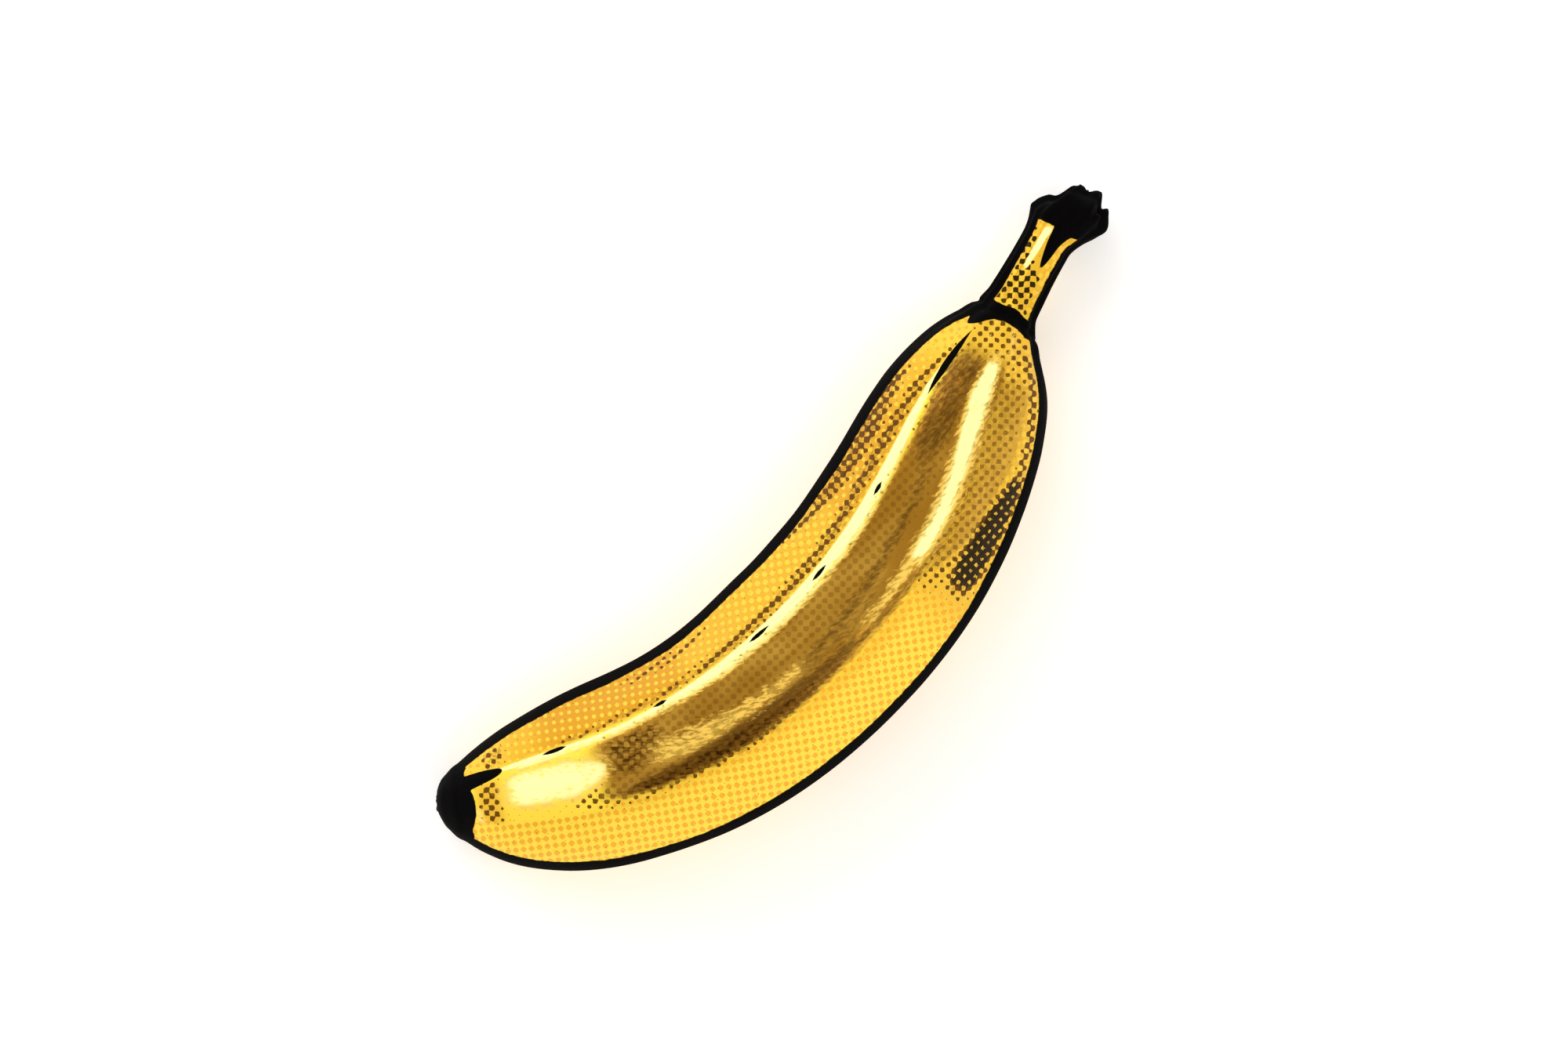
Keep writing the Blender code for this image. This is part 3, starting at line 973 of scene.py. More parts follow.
@dataclass
class Peel:
    """The whole closed skin of the fruit, from the blossom scar to the cut crown."""

    form: FruitForm
    neck: Neck = field(default_factory=Neck)
    dents: Dents = field(default_factory=Dents)
    stem: Stem = field(default_factory=Stem)
    crown: Crown = field(default_factory=Crown)
    tip: BlossomTip = field(default_factory=BlossomTip)
    ink: InkLines = field(default_factory=InkLines)
    sides: int = 64
    finest_step: float = 0.0008
    longest_step: float = 0.0048
    step_growth: float = 0.16
    levels: int = 2
    cap_rings: int = 5
    print_flat: float = 0.93  # how far the dots follow the view from above
    print_unrolled: float = 0.07  # and how far they follow the skin

    def stations(self) -> list[float]:
        """Where the rings stand, closest together at the two ends and at the neck.

        Returns:
            The rings' distances from the tip.
        """
        near = (0.0, self.neck.at, self.form.length - 0.004, self.form.length)
        places = [0.0]
        while places[-1] < self.form.length - self.finest_step:
            off = min(abs(places[-1] - n) for n in near)
            places.append(places[-1] + min(self.longest_step, self.finest_step + self.step_growth * off))
        places[-1] = self.form.length
        return places

    def blank(self) -> bpy.types.Object:
        """Draws the straight fruit out of one ring, closes both ends and smooths it.

        Returns:
            The closed, smooth form.
        """
        places = np.array(self.stations())
        halves = zip(places, self.form.width(places) / 2, self.form.depth(places) / 2)
        stations = [tuple(float(v) for v in station) for station in halves]
        piece = draw_out("peel", self.sides, stations, self.cap_rings)
        apply_modifier(piece, "SUBSURF", levels=self.levels, render_levels=self.levels)
        return piece

    def shape(self, piece: bpy.types.Object) -> tuple[np.ndarray, np.ndarray, np.ndarray]:
        """Gives the straight fruit its section, ridges, neck, crown and tip.

        Args:
            piece: the closed blank, straight along +X.

        Returns:
            The shaped points, still straight, the same points on the plain skin, and their angles round it.
        """
        rows = coordinates(piece)
        along = np.interp(rows[:, 0], (rows[:, 0].min(), rows[:, 0].max()), (0, self.form.length))
        half_width, half_depth = self.form.width(along) / 2, self.form.depth(along) / 2
        across, up = rows[:, 1] / half_width, rows[:, 2] / half_depth
        around = np.arctan2(up, across) % (2 * pi)
        share = np.minimum(np.hypot(across, up), 1.0)
        middle = self.form.mid_body(along)
        flatness = self.form.end_flatness + (self.form.body_flatness - self.form.end_flatness) * middle
        inwards, upwards = self.form.section(around, flatness)
        skin = np.column_stack([along, share * half_width * inwards, share * half_depth * upwards])
        relief = self.dents.relief(self.form, skin) + self.neck.relief(along, around)
        relief += self.stem.relief(self.form, skin, around) + self.crown.relief(self.form, skin, around)
        relief += self.tip.relief(skin, around)
        radius = np.maximum(np.hypot(skin[:, 1], skin[:, 2]), 1e-6)
        out = 1 + relief / radius * ramp(share, 0.1, 0.9)
        rise = self.crown.rise(self.form, skin, around)
        shaped = np.column_stack([along, skin[:, 1] * out, skin[:, 2] * out])
        shaped[:, 0] += self.tip.set_in(self.form, skin) + rise
        return shaped, skin, around

    def mark(self, piece: bpy.types.Object, straight: np.ndarray, around: np.ndarray) -> None:
        """Stores the markings on the skin, and the places that its patterns follow.

        Args:
            piece: the piece to work on.
            straight: points of the straight fruit, one row (along, inwards, up) each.
            around: the angle round the fruit at each point.
        """
        form = self.form
        along = straight[:, 0]
        share = along / form.length
        degrees = np.degrees(around)
        for layer in Layer:
            strokes = [marking.amount(share, degrees) for marking in MARKINGS if marking.layer is layer]
            write_values(piece, layer.value, np.maximum.reduce(strokes))
        write_values(piece, "ink", self.ink.field(form, self.neck, straight, around))
        girth = np.hypot(straight[:, 1], straight[:, 2])
        line, off = np.zeros_like(along), np.full_like(along, 1.0)
        for number in self.ink.dashed:
            away = np.abs((around - form.ridges[number] + pi) % (2 * pi) - pi) * girth
            nearer = away < off
            line = np.where(nearer, self.ink.dashes(form, along, number), line)
            off = np.where(nearer, away, off)
        write_values(piece, "ridge_ink", line / MM)
        write_values(piece, "ridge_off", off / MM)
        write_values(piece, GROWN, straight)
        mirrored = np.where(around > pi, 2 * pi - around, around)
        unrolled = (pi / 2 - mirrored) * girth
        across = self.print_flat * straight[:, 1] + self.print_unrolled * unrolled
        spread = np.column_stack([along, across, 0 * along])
        write_values(piece, PLACES, form.bend(spread) * np.array([1, 1, 0]))

    def unwrap(self, piece: bpy.types.Object, straight: np.ndarray, around: np.ndarray) -> None:
        """Lays the skin out flat: its length across the map, its girth up it, with the seam underneath.

        Args:
            piece: the piece to work on.
            straight: points of the straight fruit, one row (along, inwards, up) each.
            around: the angle round the fruit at each point.
        """
        layer = piece.data.uv_layers.new(name="OFBake")
        end = 6 * MM
        out = np.hypot(straight[:, 1], straight[:, 2])
        before = np.maximum(self.form.tip_width / 2 - out, 0) * (straight[:, 0] < 1.2 * MM)
        after = np.maximum(self.form.crown_width / 2 - out, 0)
        after = after * (straight[:, 0] > self.form.length - 4 * MM)
        across = (end + straight[:, 0] - before + after) / (self.form.length + 3 * end)
        up = ((around - 1.5 * pi) % (2 * pi)) / (2 * pi)
        loops = np.empty(len(piece.data.loops), np.int64)
        piece.data.loops.foreach_get("vertex_index", loops)
        starts = np.array([p.loop_start for p in piece.data.polygons])
        counts = np.array([p.loop_total for p in piece.data.polygons])
        owner = np.repeat(np.arange(len(starts)), counts)
        highest = np.maximum.reduceat(up[loops], starts)
        v = up[loops] + ((highest[owner] > 0.75) & (up[loops] < 0.25))
        uv = np.column_stack([across[loops], np.minimum(v, 1.0)])
        layer.data.foreach_set("uv", uv.astype(np.float32).ravel())

    def build(self) -> tuple[bpy.types.Object, Seat]:
        """Makes the skin and finds the fruit's place in the frame.

        Returns:
            The finished skin, and the seat that the other pieces share.
        """
        piece = self.blank()
        shaped, skin, around = self.shape(piece)
        self.mark(piece, skin, around)
        self.unwrap(piece, skin, around)
        bent = self.form.bend(shaped)
        low, high = bent.min(axis=0), bent.max(axis=0)
        middle = (Vector(CAD_BOX[0]) + Vector(CAD_BOX[1])) / 2
        shift = (
            middle.x - (low[0] + high[0]) / 2,
            middle.y - (low[1] + high[1]) / 2,
            CAD_BOX[0][2] - low[2] - self.form.rest_cut,
        )
        seat = Seat(shift)
        set_coordinates(piece, seat.placed(bent))
        piece.data.shade_smooth()
        return piece, seat


# ---------------------------------------------------------------------------------------------------------
# The dry ends
# ---------------------------------------------------------------------------------------------------------


@dataclass
class CrownFibres:
    """The torn ends of the stem's fibre bundles, standing in and round the sunken pith of the cut crown."""

    form: FruitForm
    crown: Crown
    seat: Seat
    rings: tuple[tuple[int, float], ...] = ((4, 0.11), (8, 0.24))  # how many, how far out
    strand_length: float = 0.6 * MM
    strand_radius: float = 0.42 * MM
    bedded: float = 0.8 * MM

    def strand(self) -> bpy.types.Object:
        """Models one frayed strand, standing on the origin along +X.

        Returns:
            The strand.
        """
        steps = ((-1.0, 1.0), (-0.2, 1.0), (0.35, 0.82), (0.7, 0.9), (1.0, 0.45))
        length = (self.bedded, self.strand_length)
        radii = [(at * length[at > 0], share * self.strand_radius) for at, share in steps]
        stations = [(at, radius, radius) for at, radius in radii]
        piece = draw_out("crown_fibres", 7, stations, 1)
        apply_modifier(piece, "SUBSURF", levels=1, render_levels=1)
        return piece

    def build(self) -> bpy.types.Object:
        """Plants the strands and joins them.

        Returns:
            The joined strands, in place.
        """
        draw = np.random.default_rng(8)
        model = self.strand()
        shape = coordinates(model)
        copies = []
        for count, share in self.rings:
            for number in range(count):
                angle = 2 * pi * (number + draw.uniform(-0.25, 0.25)) / count
                out = share * self.form.crown_width / 2 * draw.uniform(0.85, 1.15)
                foot = np.array([[self.form.length, out * cos(angle), out * sin(angle)]])
                rise = self.crown.rise(self.form, foot, np.array([angle]))[0]
                copy = model.copy()
                copy.data = model.data.copy()
                bpy.context.scene.collection.objects.link(copy)
                lean = 0.25 * shape[:, :1].clip(0) * np.array([[0, cos(angle), sin(angle)]])
                long = shape * np.array([draw.uniform(0.6, 1.15), 1, 1])
                set_coordinates(copy, long + foot + np.array([[rise, 0, 0]]) + lean)
                copies.append(copy)
        bpy.data.objects.remove(model)
        bpy.ops.object.select_all(action="DESELECT")
        for copy in copies:
            copy.select_set(True)
        piece = copies[0]
        bpy.context.view_layer.objects.active = piece
        bpy.ops.object.join()
        piece.name = piece.data.name = "crown_fibres"
        straight = coordinates(piece)
        write_values(piece, GROWN, straight)
        set_coordinates(piece, self.seat.placed(self.form.bend(straight)))
        piece.data.shade_smooth()
        return piece


@dataclass
class BlossomScar:
    """The dry, five-lobed remnant of the flower, set in the pit at the tip."""

    form: FruitForm
    seat: Seat
    lobes: int = 5
    radius: float = 2.1 * MM
    foot: float = 1.3 * MM
    dome: float = 0.75 * MM
    curl: float = 0.30 * MM
    roughness: float = 0.22 * MM
    sides: int = 40

    def build(self) -> bpy.types.Object:
        """Models the remnant and sets it in its pit.

        Returns:
            The remnant, in place.
        """
        steps = ((self.foot, 0.90), (0.8 * MM, 0.95), (0.35 * MM, 1.0), (0.0, 0.92), (-0.12 * MM, 0.72))
        stations = [(at, share * self.radius, share * self.radius) for at, share in steps]
        piece = draw_out("blossom_scar", self.sides, stations, 4)
        apply_modifier(piece, "SUBSURF", levels=1, render_levels=1)
        straight = coordinates(piece)
        around = np.arctan2(straight[:, 2], straight[:, 1])
        out = np.hypot(straight[:, 1], straight[:, 2]) / self.radius
        lobed = 0.5 + 0.5 * np.cos(self.lobes * around + 0.5 * np.sin(2 * around))
        rough = noise_at(straight, (700, 700, 700), 73.0)
        straight[:, 1:] *= (1 - 0.30 * (1 - lobed) * out + 0.10 * rough)[:, None]
        outer = 1 - ramp(straight[:, 0], 0.0, 0.8 * MM)
        lift = self.dome * ramp(-out, -0.55, 0.0) + self.curl * (1 - lobed) * out - self.roughness * rough
        straight[:, 0] += outer * lift
        write_values(piece, GROWN, straight)
        set_coordinates(piece, self.seat.placed(self.form.bend(straight)))
        piece.data.shade_smooth()
        return piece


# ---------------------------------------------------------------------------------------------------------
# Finishes
# ---------------------------------------------------------------------------------------------------------


class Graph:
    """A node tree with short calls for the nodes that the finishes use."""

    def __init__(self, tree: bpy.types.NodeTree) -> None:
        """Takes the tree to add nodes to."""
        self.tree = tree

    def node(self, kind: str, **settings: object) -> bpy.types.Node:
        """Adds a node and sets its own settings.

        Args:
            kind: the node's type.
            settings: its own settings, by name.

        Returns:
            The node.
        """
        made = self.tree.nodes.new(kind)
        for key, value in settings.items():
            setattr(made, key, value)
        return made

    def feed(self, socket: bpy.types.NodeSocket, value: object) -> None:
        """Links a socket to the one given, or sets its value.

        Args:
            socket: the input socket.
            value: a socket, or a plain value.
        """
        if isinstance(value, bpy.types.NodeSocket):
            self.tree.links.new(value, socket)
        else:
            socket.default_value = value

    def math(self, kind: str, *values: object, clamp: bool = False) -> bpy.types.NodeSocket:
        """A maths node on the values given.

        Args:
            kind: the operation.
            values: sockets or numbers.
            clamp: whether the result stays between 0 and 1.

        Returns:
            The result's socket.
        """
        made = self.node("ShaderNodeMath", operation=kind, use_clamp=clamp)
        for socket, value in zip(made.inputs, values):
            self.feed(socket, value)
        return made.outputs[0]

    def spread(self, value: object, low: float, high: float) -> bpy.types.NodeSocket:
        """0 below low and 1 above high, eased between them.

        Args:
            value: a socket, or a plain value.
            low: where the result starts to rise.
            high: where it reaches 1.

        Returns:
            The result's socket.
        """
        made = self.node("ShaderNodeMapRange", interpolation_type="SMOOTHSTEP")
        for name, given in (("Value", value), ("From Min", low), ("From Max", high)):
            self.feed(made.inputs[name], given)
        return made.outputs["Result"]

    def mix(self, share: object, below: object, above: object) -> bpy.types.NodeSocket:
        """A colour between the two given.

        Args:
            share: how much of the second shows.
            below: what shows at a share of 0.
            above: what shows at a share of 1.

        Returns:
            The colour's socket.
        """
        made = self.node("ShaderNodeMix", data_type="RGBA")
        self.feed(made.inputs[0], share)
        self.feed(made.inputs[6], below)
        self.feed(made.inputs[7], above)
        return made.outputs[2]

    def blend(self, share: object, below: object, above: object) -> bpy.types.NodeSocket:
        """A number between the two given.

        Args:
            share: how much of the second shows.
            below: what shows at a share of 0.
            above: what shows at a share of 1.

        Returns:
            The number's socket.
        """
        made = self.node("ShaderNodeMix", data_type="FLOAT")
        self.feed(made.inputs[0], share)
        self.feed(made.inputs[2], below)
        self.feed(made.inputs[3], above)
        return made.outputs[0]

    def values(self, name: str, output: str = "Fac") -> bpy.types.NodeSocket:
        """The values stored on the piece under a name."""
        return self.node("ShaderNodeAttribute", attribute_name=name).outputs[output]

    def along(self, place: object) -> bpy.types.NodeSocket:
        """A place's distance along the fruit.

        Args:
            place: the place, as a vector.

        Returns:
            The distance's socket.
        """
        made = self.node("ShaderNodeSeparateXYZ")
        self.feed(made.inputs[0], place)
        return made.outputs[0]

    def stretched(self, place: object, scale: tuple[float, float, float], turn: float = 0.0) -> object:
        """A place scaled along each axis, after a turn about the third one.

        Args:
            place: the place to change.
            scale: the factor along each axis.
            turn: the turn, in radians.

        Returns:
            The new place's socket.
        """
        made = self.node("ShaderNodeMapping", vector_type="POINT")
        self.feed(made.inputs["Vector"], place)
        made.inputs["Scale"].default_value = scale
        made.inputs["Rotation"].default_value = (0, 0, turn)
        return made.outputs[0]

    def noise(self, place: object, scale: float, detail: float = 3.0, rough: float = 0.55) -> object:
        """Noise from 0 to 1.

        Args:
            place: the place to look up.
            scale: how fine the noise is.
            detail: how many finer layers are added.
            rough: how strong those layers are.

        Returns:
            The noise's socket.
        """
        made = self.node("ShaderNodeTexNoise")
        self.feed(made.inputs["Vector"], place)
        made.inputs["Scale"].default_value = scale
        made.inputs["Detail"].default_value = detail
        made.inputs["Roughness"].default_value = rough
        return made.outputs["Fac"]

    def group(self, tree: bpy.types.NodeTree, **values: object) -> bpy.types.Node:
        """Places a node group and gives its inputs their values.

        Args:
            tree: the node group.
            values: its inputs' values, by name.

        Returns:
            The group's node.
        """
        made = self.node("ShaderNodeGroup", node_tree=tree)
        for name, value in values.items():
            self.feed(made.inputs[name.replace("_", " ").capitalize()], value)
        return made


def new_group(
    name: str, inputs: dict[str, str], outputs: dict[str, str]
) -> tuple[object, Graph, object, object]:
    """Starts a node group.

    Args:
        name: the group's name.
        inputs: each input's name and kind, Float, Vector or Color.
        outputs: each output's name and kind.

    Returns:
        The group, a graph to add nodes with, its input node and its output node.
    """
    tree = bpy.data.node_groups.new(name, "ShaderNodeTree")
    for side, sockets in (("INPUT", inputs), ("OUTPUT", outputs)):
        for socket, kind in sockets.items():
            tree.interface.new_socket(socket, in_out=side, socket_type=f"NodeSocket{kind}")
    graph = Graph(tree)
    return tree, graph, graph.node("NodeGroupInput"), graph.node("NodeGroupOutput")


def dot_screen() -> bpy.types.NodeTree:
    """A screen of dots: apart at a low tone, and grown together round pale gaps at a high one.

    Returns:
        The node group.
    """
    tree, g, given, made = new_group(
        "dot screen", {"Place": "Vector", "Tone": "Float", "Ragged": "Float"}, {"Mask": "Float"}
    )
    parts = g.node("ShaderNodeSeparateXYZ")
    g.feed(parts.inputs[0], given.outputs["Place"])
    waves = [g.math("COSINE", g.math("MULTIPLY", parts.outputs[k], 2 * pi)) for k in range(2)]
    cell = g.math("MULTIPLY_ADD", g.math("ADD", *waves), 0.25, 0.5)
    quick = [g.math("COSINE", g.math("MULTIPLY", parts.outputs[k], 4 * pi)) for k in range(2)]
    points = g.math("MULTIPLY", g.math("MULTIPLY", *quick), g.spread(given.outputs["Tone"], 0.66, 0.80))
    cell = g.math("MULTIPLY_ADD", points, -0.16, cell)
    cell = g.math("ADD", cell, given.outputs["Ragged"])
    over = g.math("SUBTRACT", cell, g.math("SUBTRACT", 1.0, given.outputs["Tone"]))
    g.feed(made.inputs["Mask"], g.spread(over, -0.05, 0.05))
    return tree


def crinkle() -> bpy.types.NodeTree:
    """Fine creases, as in pressed foil or a drying peel, that run with the fruit.

    Returns:
        The node group.
    """
    tree, g, given, made = new_group("crinkle", {"Place": "Vector", "Scale": "Float"}, {"Height": "Float"})
    place = g.node("ShaderNodeVectorMath", operation="SCALE")
    g.feed(place.inputs[0], given.outputs["Place"])
    g.feed(place.inputs["Scale"], given.outputs["Scale"])
    warp = g.node("ShaderNodeTexNoise")
    g.feed(warp.inputs["Vector"], place.outputs[0])
    warp.inputs["Scale"].default_value = 1.6
    moved = g.node("ShaderNodeVectorMath", operation="MULTIPLY_ADD")
    g.feed(moved.inputs[0], warp.outputs["Color"])
    moved.inputs[1].default_value = (1.2, 1.2, 1.2)
    g.feed(moved.inputs[2], place.outputs[0])
    folds = g.node("ShaderNodeTexNoise", noise_type="RIDGED_MULTIFRACTAL")
    g.feed(folds.inputs["Vector"], moved.outputs[0])
    folds.inputs["Scale"].default_value = 1.0
    folds.inputs["Detail"].default_value = 3.0
    g.feed(made.inputs["Height"], folds.outputs["Fac"])
    return tree


def scratches() -> bpy.types.NodeTree:
    """Short hair-fine scratches that run roughly along the fruit, from 0 to 1.

    Returns:
        The node group.
    """
    tree, g, given, made = new_group("scratches", {"Place": "Vector", "Turn": "Float"}, {"Amount": "Float"})
    turned = g.node("ShaderNodeVectorRotate", rotation_type="Z_AXIS")
    g.feed(turned.inputs["Vector"], given.outputs["Place"])
    g.feed(turned.inputs["Angle"], given.outputs["Turn"])
    warp = g.node("ShaderNodeTexNoise")
    g.feed(warp.inputs["Vector"], given.outputs["Place"])
    warp.inputs["Scale"].default_value = 260
    bent = g.node("ShaderNodeVectorMath", operation="MULTIPLY_ADD")
    g.feed(bent.inputs[0], warp.outputs["Color"])
    bent.inputs[1].default_value = (0.0016, 0.0016, 0.0016)
    g.feed(bent.inputs[2], turned.outputs[0])
    hair = g.noise(g.stretched(bent.outputs[0], (0.30, 1.0, 1.0)), 1700, 2.0, 0.6)
    g.feed(made.inputs["Amount"], g.spread(hair, 0.30, 0.70))
    return tree


@dataclass(frozen=True)
class PeelFinish:
    """Golden peel: yellow to orange, dark-gold foil on top, partly a painted dark reflection, painted
    shade, dot screens, pale painted highlights and black ink.
    """

    yellow: tuple[float, ...] = linear(254, 217, 68)
    orange: tuple[float, ...] = linear(214, 152, 28)
    # The foil's golds, partly a painted reflection: deep gold where it is dark, lighter gold in clouds.
    deep_gold: tuple[float, ...] = linear(163, 114, 28)
    light_gold: tuple[float, ...] = linear(198, 150, 54)
    orange_spot: tuple[float, ...] = linear(240, 166, 38)
    pale_spot: tuple[float, ...] = linear(250, 206, 62)
    # The colour of the painted shade.
    shade: tuple[float, ...] = linear(92, 60, 12)
    brown: tuple[float, ...] = linear(98, 60, 10)
    dark_brown: tuple[float, ...] = linear(22, 11, 2)
    # The painted highlights' colours: golden at their faint edges, a yellow halo round them, near-white
    # cores.
    painted_glint: tuple[float, ...] = linear(250, 200, 88)
    painted_glow: tuple[float, ...] = linear(255, 232, 104)
    highlight_cream: tuple[float, ...] = linear(255, 253, 172)
    black: tuple[float, ...] = linear(5, 4, 4)
    pitch: float = 1.64 * MM
    spot_turn: float = radians(35.3)
    brown_turn: float = radians(1.1)
    peel_roughness: float = 0.38
    foil_roughness: float = 0.27
    brown_roughness: float = 0.45
    ink_roughness: float = 0.80
    specular: float = 0.025
    coat: float = 0.10
    coat_roughness: float = 0.18
    crease_scale: float = 420.0
    bump_depth: float = 0.16 * MM

    def masks(self, g: Graph, grown: object, scratch: bpy.types.NodeTree) -> dict[str, object]:
        """The layers' fields, with their edges broken up by scratches and specks.

        Args:
            g: the graph to add nodes to.
            grown: the place on the straight fruit.
            scratch: the node group of scratches.

        Returns:
            Each mask's socket, by name.
        """
        hair = g.group(scratch, place=grown, turn=0.35).outputs[0]
        speck = g.math("MULTIPLY_ADD", g.noise(grown, 2600, 2.0), 0.20, -0.10)
        loose = g.math("SUBTRACT", hair, 0.5)
        stored = {layer: g.values(layer.value) for layer in Layer}
        # Painted highlights: their field, broken into patches and hair lines at the edges.
        patchy = g.noise(g.stretched(grown, (0.5, 1.0, 1.0)), 170, 3.0)
        painted_highlight_field = g.math("ADD", stored[Layer.PAINTED_HIGHLIGHT], g.math("MULTIPLY_ADD", patchy, 0.5, -0.25))
        # The foil: more metal, and gold that is partly a painted reflection.
        foil = g.spread(g.math("MULTIPLY_ADD", loose, 0.14, stored[Layer.FOIL_WITH_PAINTED_REFLECTION]), 0.1, 0.9)
        # Painted shade, with ragged edges.
        shade = g.math("MULTIPLY_ADD", loose, 0.5, stored[Layer.SHADE])
        shade = g.math("MULTIPLY", g.spread(shade, 0.05, 0.95), g.spread(stored[Layer.SHADE], 0.02, 0.2))
        painted_highlight = g.spread(g.math("MULTIPLY_ADD", loose, 0.60, painted_highlight_field), 0.34, 0.88)
        tone = g.math("MULTIPLY_ADD", loose, 0.16, stored[Layer.BROWN])
        tone = g.math("MULTIPLY", tone, g.spread(stored[Layer.BROWN], 0.02, 0.2))
        # A painted yellow halo round the painted highlights.
        painted_glow = g.spread(g.math("MULTIPLY_ADD", loose, 0.20, stored[Layer.PAINTED_HIGHLIGHT]), 0.30, 1.0)
        masks = {"hair": hair, "speck": speck, "foil": foil, "shade": shade, "painted_highlight": painted_highlight}
        masks |= {"orange": stored[Layer.ORANGE], "spots": stored[Layer.SPOTS]}
        return masks | {"tone": tone, "painted_glow": painted_glow}

    def colour(self, g: Graph, grown: object, masks: dict[str, object]) -> dict[str, object]:
        """Lays the peel's colour, layer over layer.

        Args:
            g: the graph to add nodes to.
            grown: the place on the straight fruit.
            masks: the layers' masks, by name.

        Returns:
            The colour, and how deep the brown dots are.
        """
        dots = dot_screen()
        across = 1 / self.pitch
        printed = g.values(PLACES, "Vector")
        clouds = g.noise(g.stretched(grown, (0.35, 1.0, 1.0)), 130, 3.0)
        ground = g.mix(masks["orange"], self.yellow, self.orange)
        spot_grid = g.stretched(printed, (across, across, 1), self.spot_turn)
        uneven = g.math("MULTIPLY_ADD", g.noise(grown, 50, 2.0), 0.20, -0.10)
        spot_tone = g.math("ADD", masks["spots"], uneven)
        ragged = g.math("MULTIPLY", masks["speck"], 0.5)
        spots = g.group(dots, place=spot_grid, tone=spot_tone, ragged=ragged)
        spot_colour = g.mix(g.spread(masks["orange"], 0.35, 0.7), self.orange_spot, self.pale_spot)
        spot_share = g.math("MULTIPLY", spots.outputs[0], g.spread(masks["spots"], 0.0, 0.2))
        ground = g.mix(g.math("MULTIPLY", spot_share, 0.85), ground, spot_colour)
        # The foil's gold, partly a painted reflection, dark with lighter clouds.
        gold = g.mix(g.spread(clouds, 0.40, 0.72), self.deep_gold, self.light_gold)
        ground = g.mix(masks["foil"], ground, gold)
        # Painted shade.
        ground = g.mix(g.math("MULTIPLY", masks["shade"], 0.85), ground, self.shade)
        # A painted yellow halo round the painted highlights.
        ground = g.mix(g.math("MULTIPLY", masks["painted_glow"], 0.8), ground, self.painted_glow)
        brown_grid = g.stretched(printed, (across, across, 1), self.brown_turn)
        brown = g.group(dots, place=brown_grid, tone=masks["tone"], ragged=masks["speck"]).outputs[0]
        on_foil = g.math("MULTIPLY_ADD", g.spread(masks["tone"], 0.44, 0.70), 0.57, 0.40)
        depth = g.math("MULTIPLY", brown, g.blend(masks["foil"], 0.97, on_foil))
        on_stem = g.spread(g.along(grown), 0.160, 0.168)
        darker = g.math("MAXIMUM", g.spread(masks["tone"], 0.58, 0.74), on_stem)
        brown_colour = g.mix(darker, self.brown, self.dark_brown)
        colour = g.mix(depth, ground, brown_colour)
        # Painted highlights over the rest: golden at their faint edges, near-white at their cores.
        pale = g.mix(g.spread(g.values(Layer.PAINTED_HIGHLIGHT.value), 0.58, 0.85), self.painted_glint, self.highlight_cream)
        return {"colour": g.mix(masks["painted_highlight"], colour, pale), "brown": depth}

    def ink(self, g: Graph, grown: object) -> object:
        """1 where the peel is black.

        Args:
            g: the graph to add nodes to.
            grown: the place on the straight fruit.

        Returns:
            The mask's socket.
        """
        rough = g.math("MULTIPLY_ADD", g.noise(grown, 900, 2.0), 0.12, -0.06)
        patches = g.spread(g.math("ADD", g.values("ink"), rough), 0.475, 0.525)
        inside = g.math("SUBTRACT", g.values("ridge_ink"), g.values("ridge_off"))
        lines = g.spread(g.math("ADD", inside, rough), -0.04, 0.06)
        return g.math("MAXIMUM", patches, lines)

    def material(self, scratch: bpy.types.NodeTree) -> bpy.types.Material:
        """The finished material.

        Args:
            scratch: the node group of scratches.

        Returns:
            The material.
        """
        material = bpy.data.materials.new("golden peel")
        material.use_nodes = True
        g = Graph(material.node_tree)
        shader = material.node_tree.nodes["Principled BSDF"]
        grown = g.values(GROWN, "Vector")
        masks = self.masks(g, grown, scratch)
        made = self.colour(g, grown, masks)
        ink = self.ink(g, grown)
        bare = g.math("SUBTRACT", 1.0, ink)
        g.feed(shader.inputs["Base Color"], g.mix(ink, made["colour"], self.black))
        metal = g.math("MULTIPLY_ADD", masks["foil"], 0.45, 0.25)
        metal = g.math("MULTIPLY", metal, g.math("MULTIPLY_ADD", masks["painted_highlight"], -0.7, 1.0))
        g.feed(shader.inputs["Metallic"], g.math("MULTIPLY", metal, bare))
        rough = g.blend(masks["foil"], self.peel_roughness, self.foil_roughness)
        rough = g.blend(made["brown"], rough, self.brown_roughness)
        g.feed(shader.inputs["Roughness"], g.blend(ink, rough, self.ink_roughness))
        shader.inputs["Specular IOR Level"].default_value = self.specular
        clear = g.math("SUBTRACT", 1.0, made["brown"])
        coat = g.math("MULTIPLY", g.math("MULTIPLY", bare, clear), self.coat)
        g.feed(shader.inputs["Coat Weight"], coat)
        shader.inputs["Coat Roughness"].default_value = self.coat_roughness
        lengthwise = g.stretched(grown, (0.35, 1.0, 1.0))
        creases = g.group(crinkle(), place=lengthwise, scale=self.crease_scale).outputs[0]
        height = g.math("MULTIPLY", creases, g.blend(masks["foil"], 0.20, 1.0))
        pores = g.noise(grown, 1900, 2.0)
        height = g.math("MULTIPLY_ADD", pores, g.blend(ink, 0.20, 1.2), height)
        bump = g.node("ShaderNodeBump")
        bump.inputs["Strength"].default_value = 0.6
        bump.inputs["Distance"].default_value = self.bump_depth
        g.feed(bump.inputs["Height"], height)
        g.feed(shader.inputs["Normal"], bump.outputs[0])
        return material


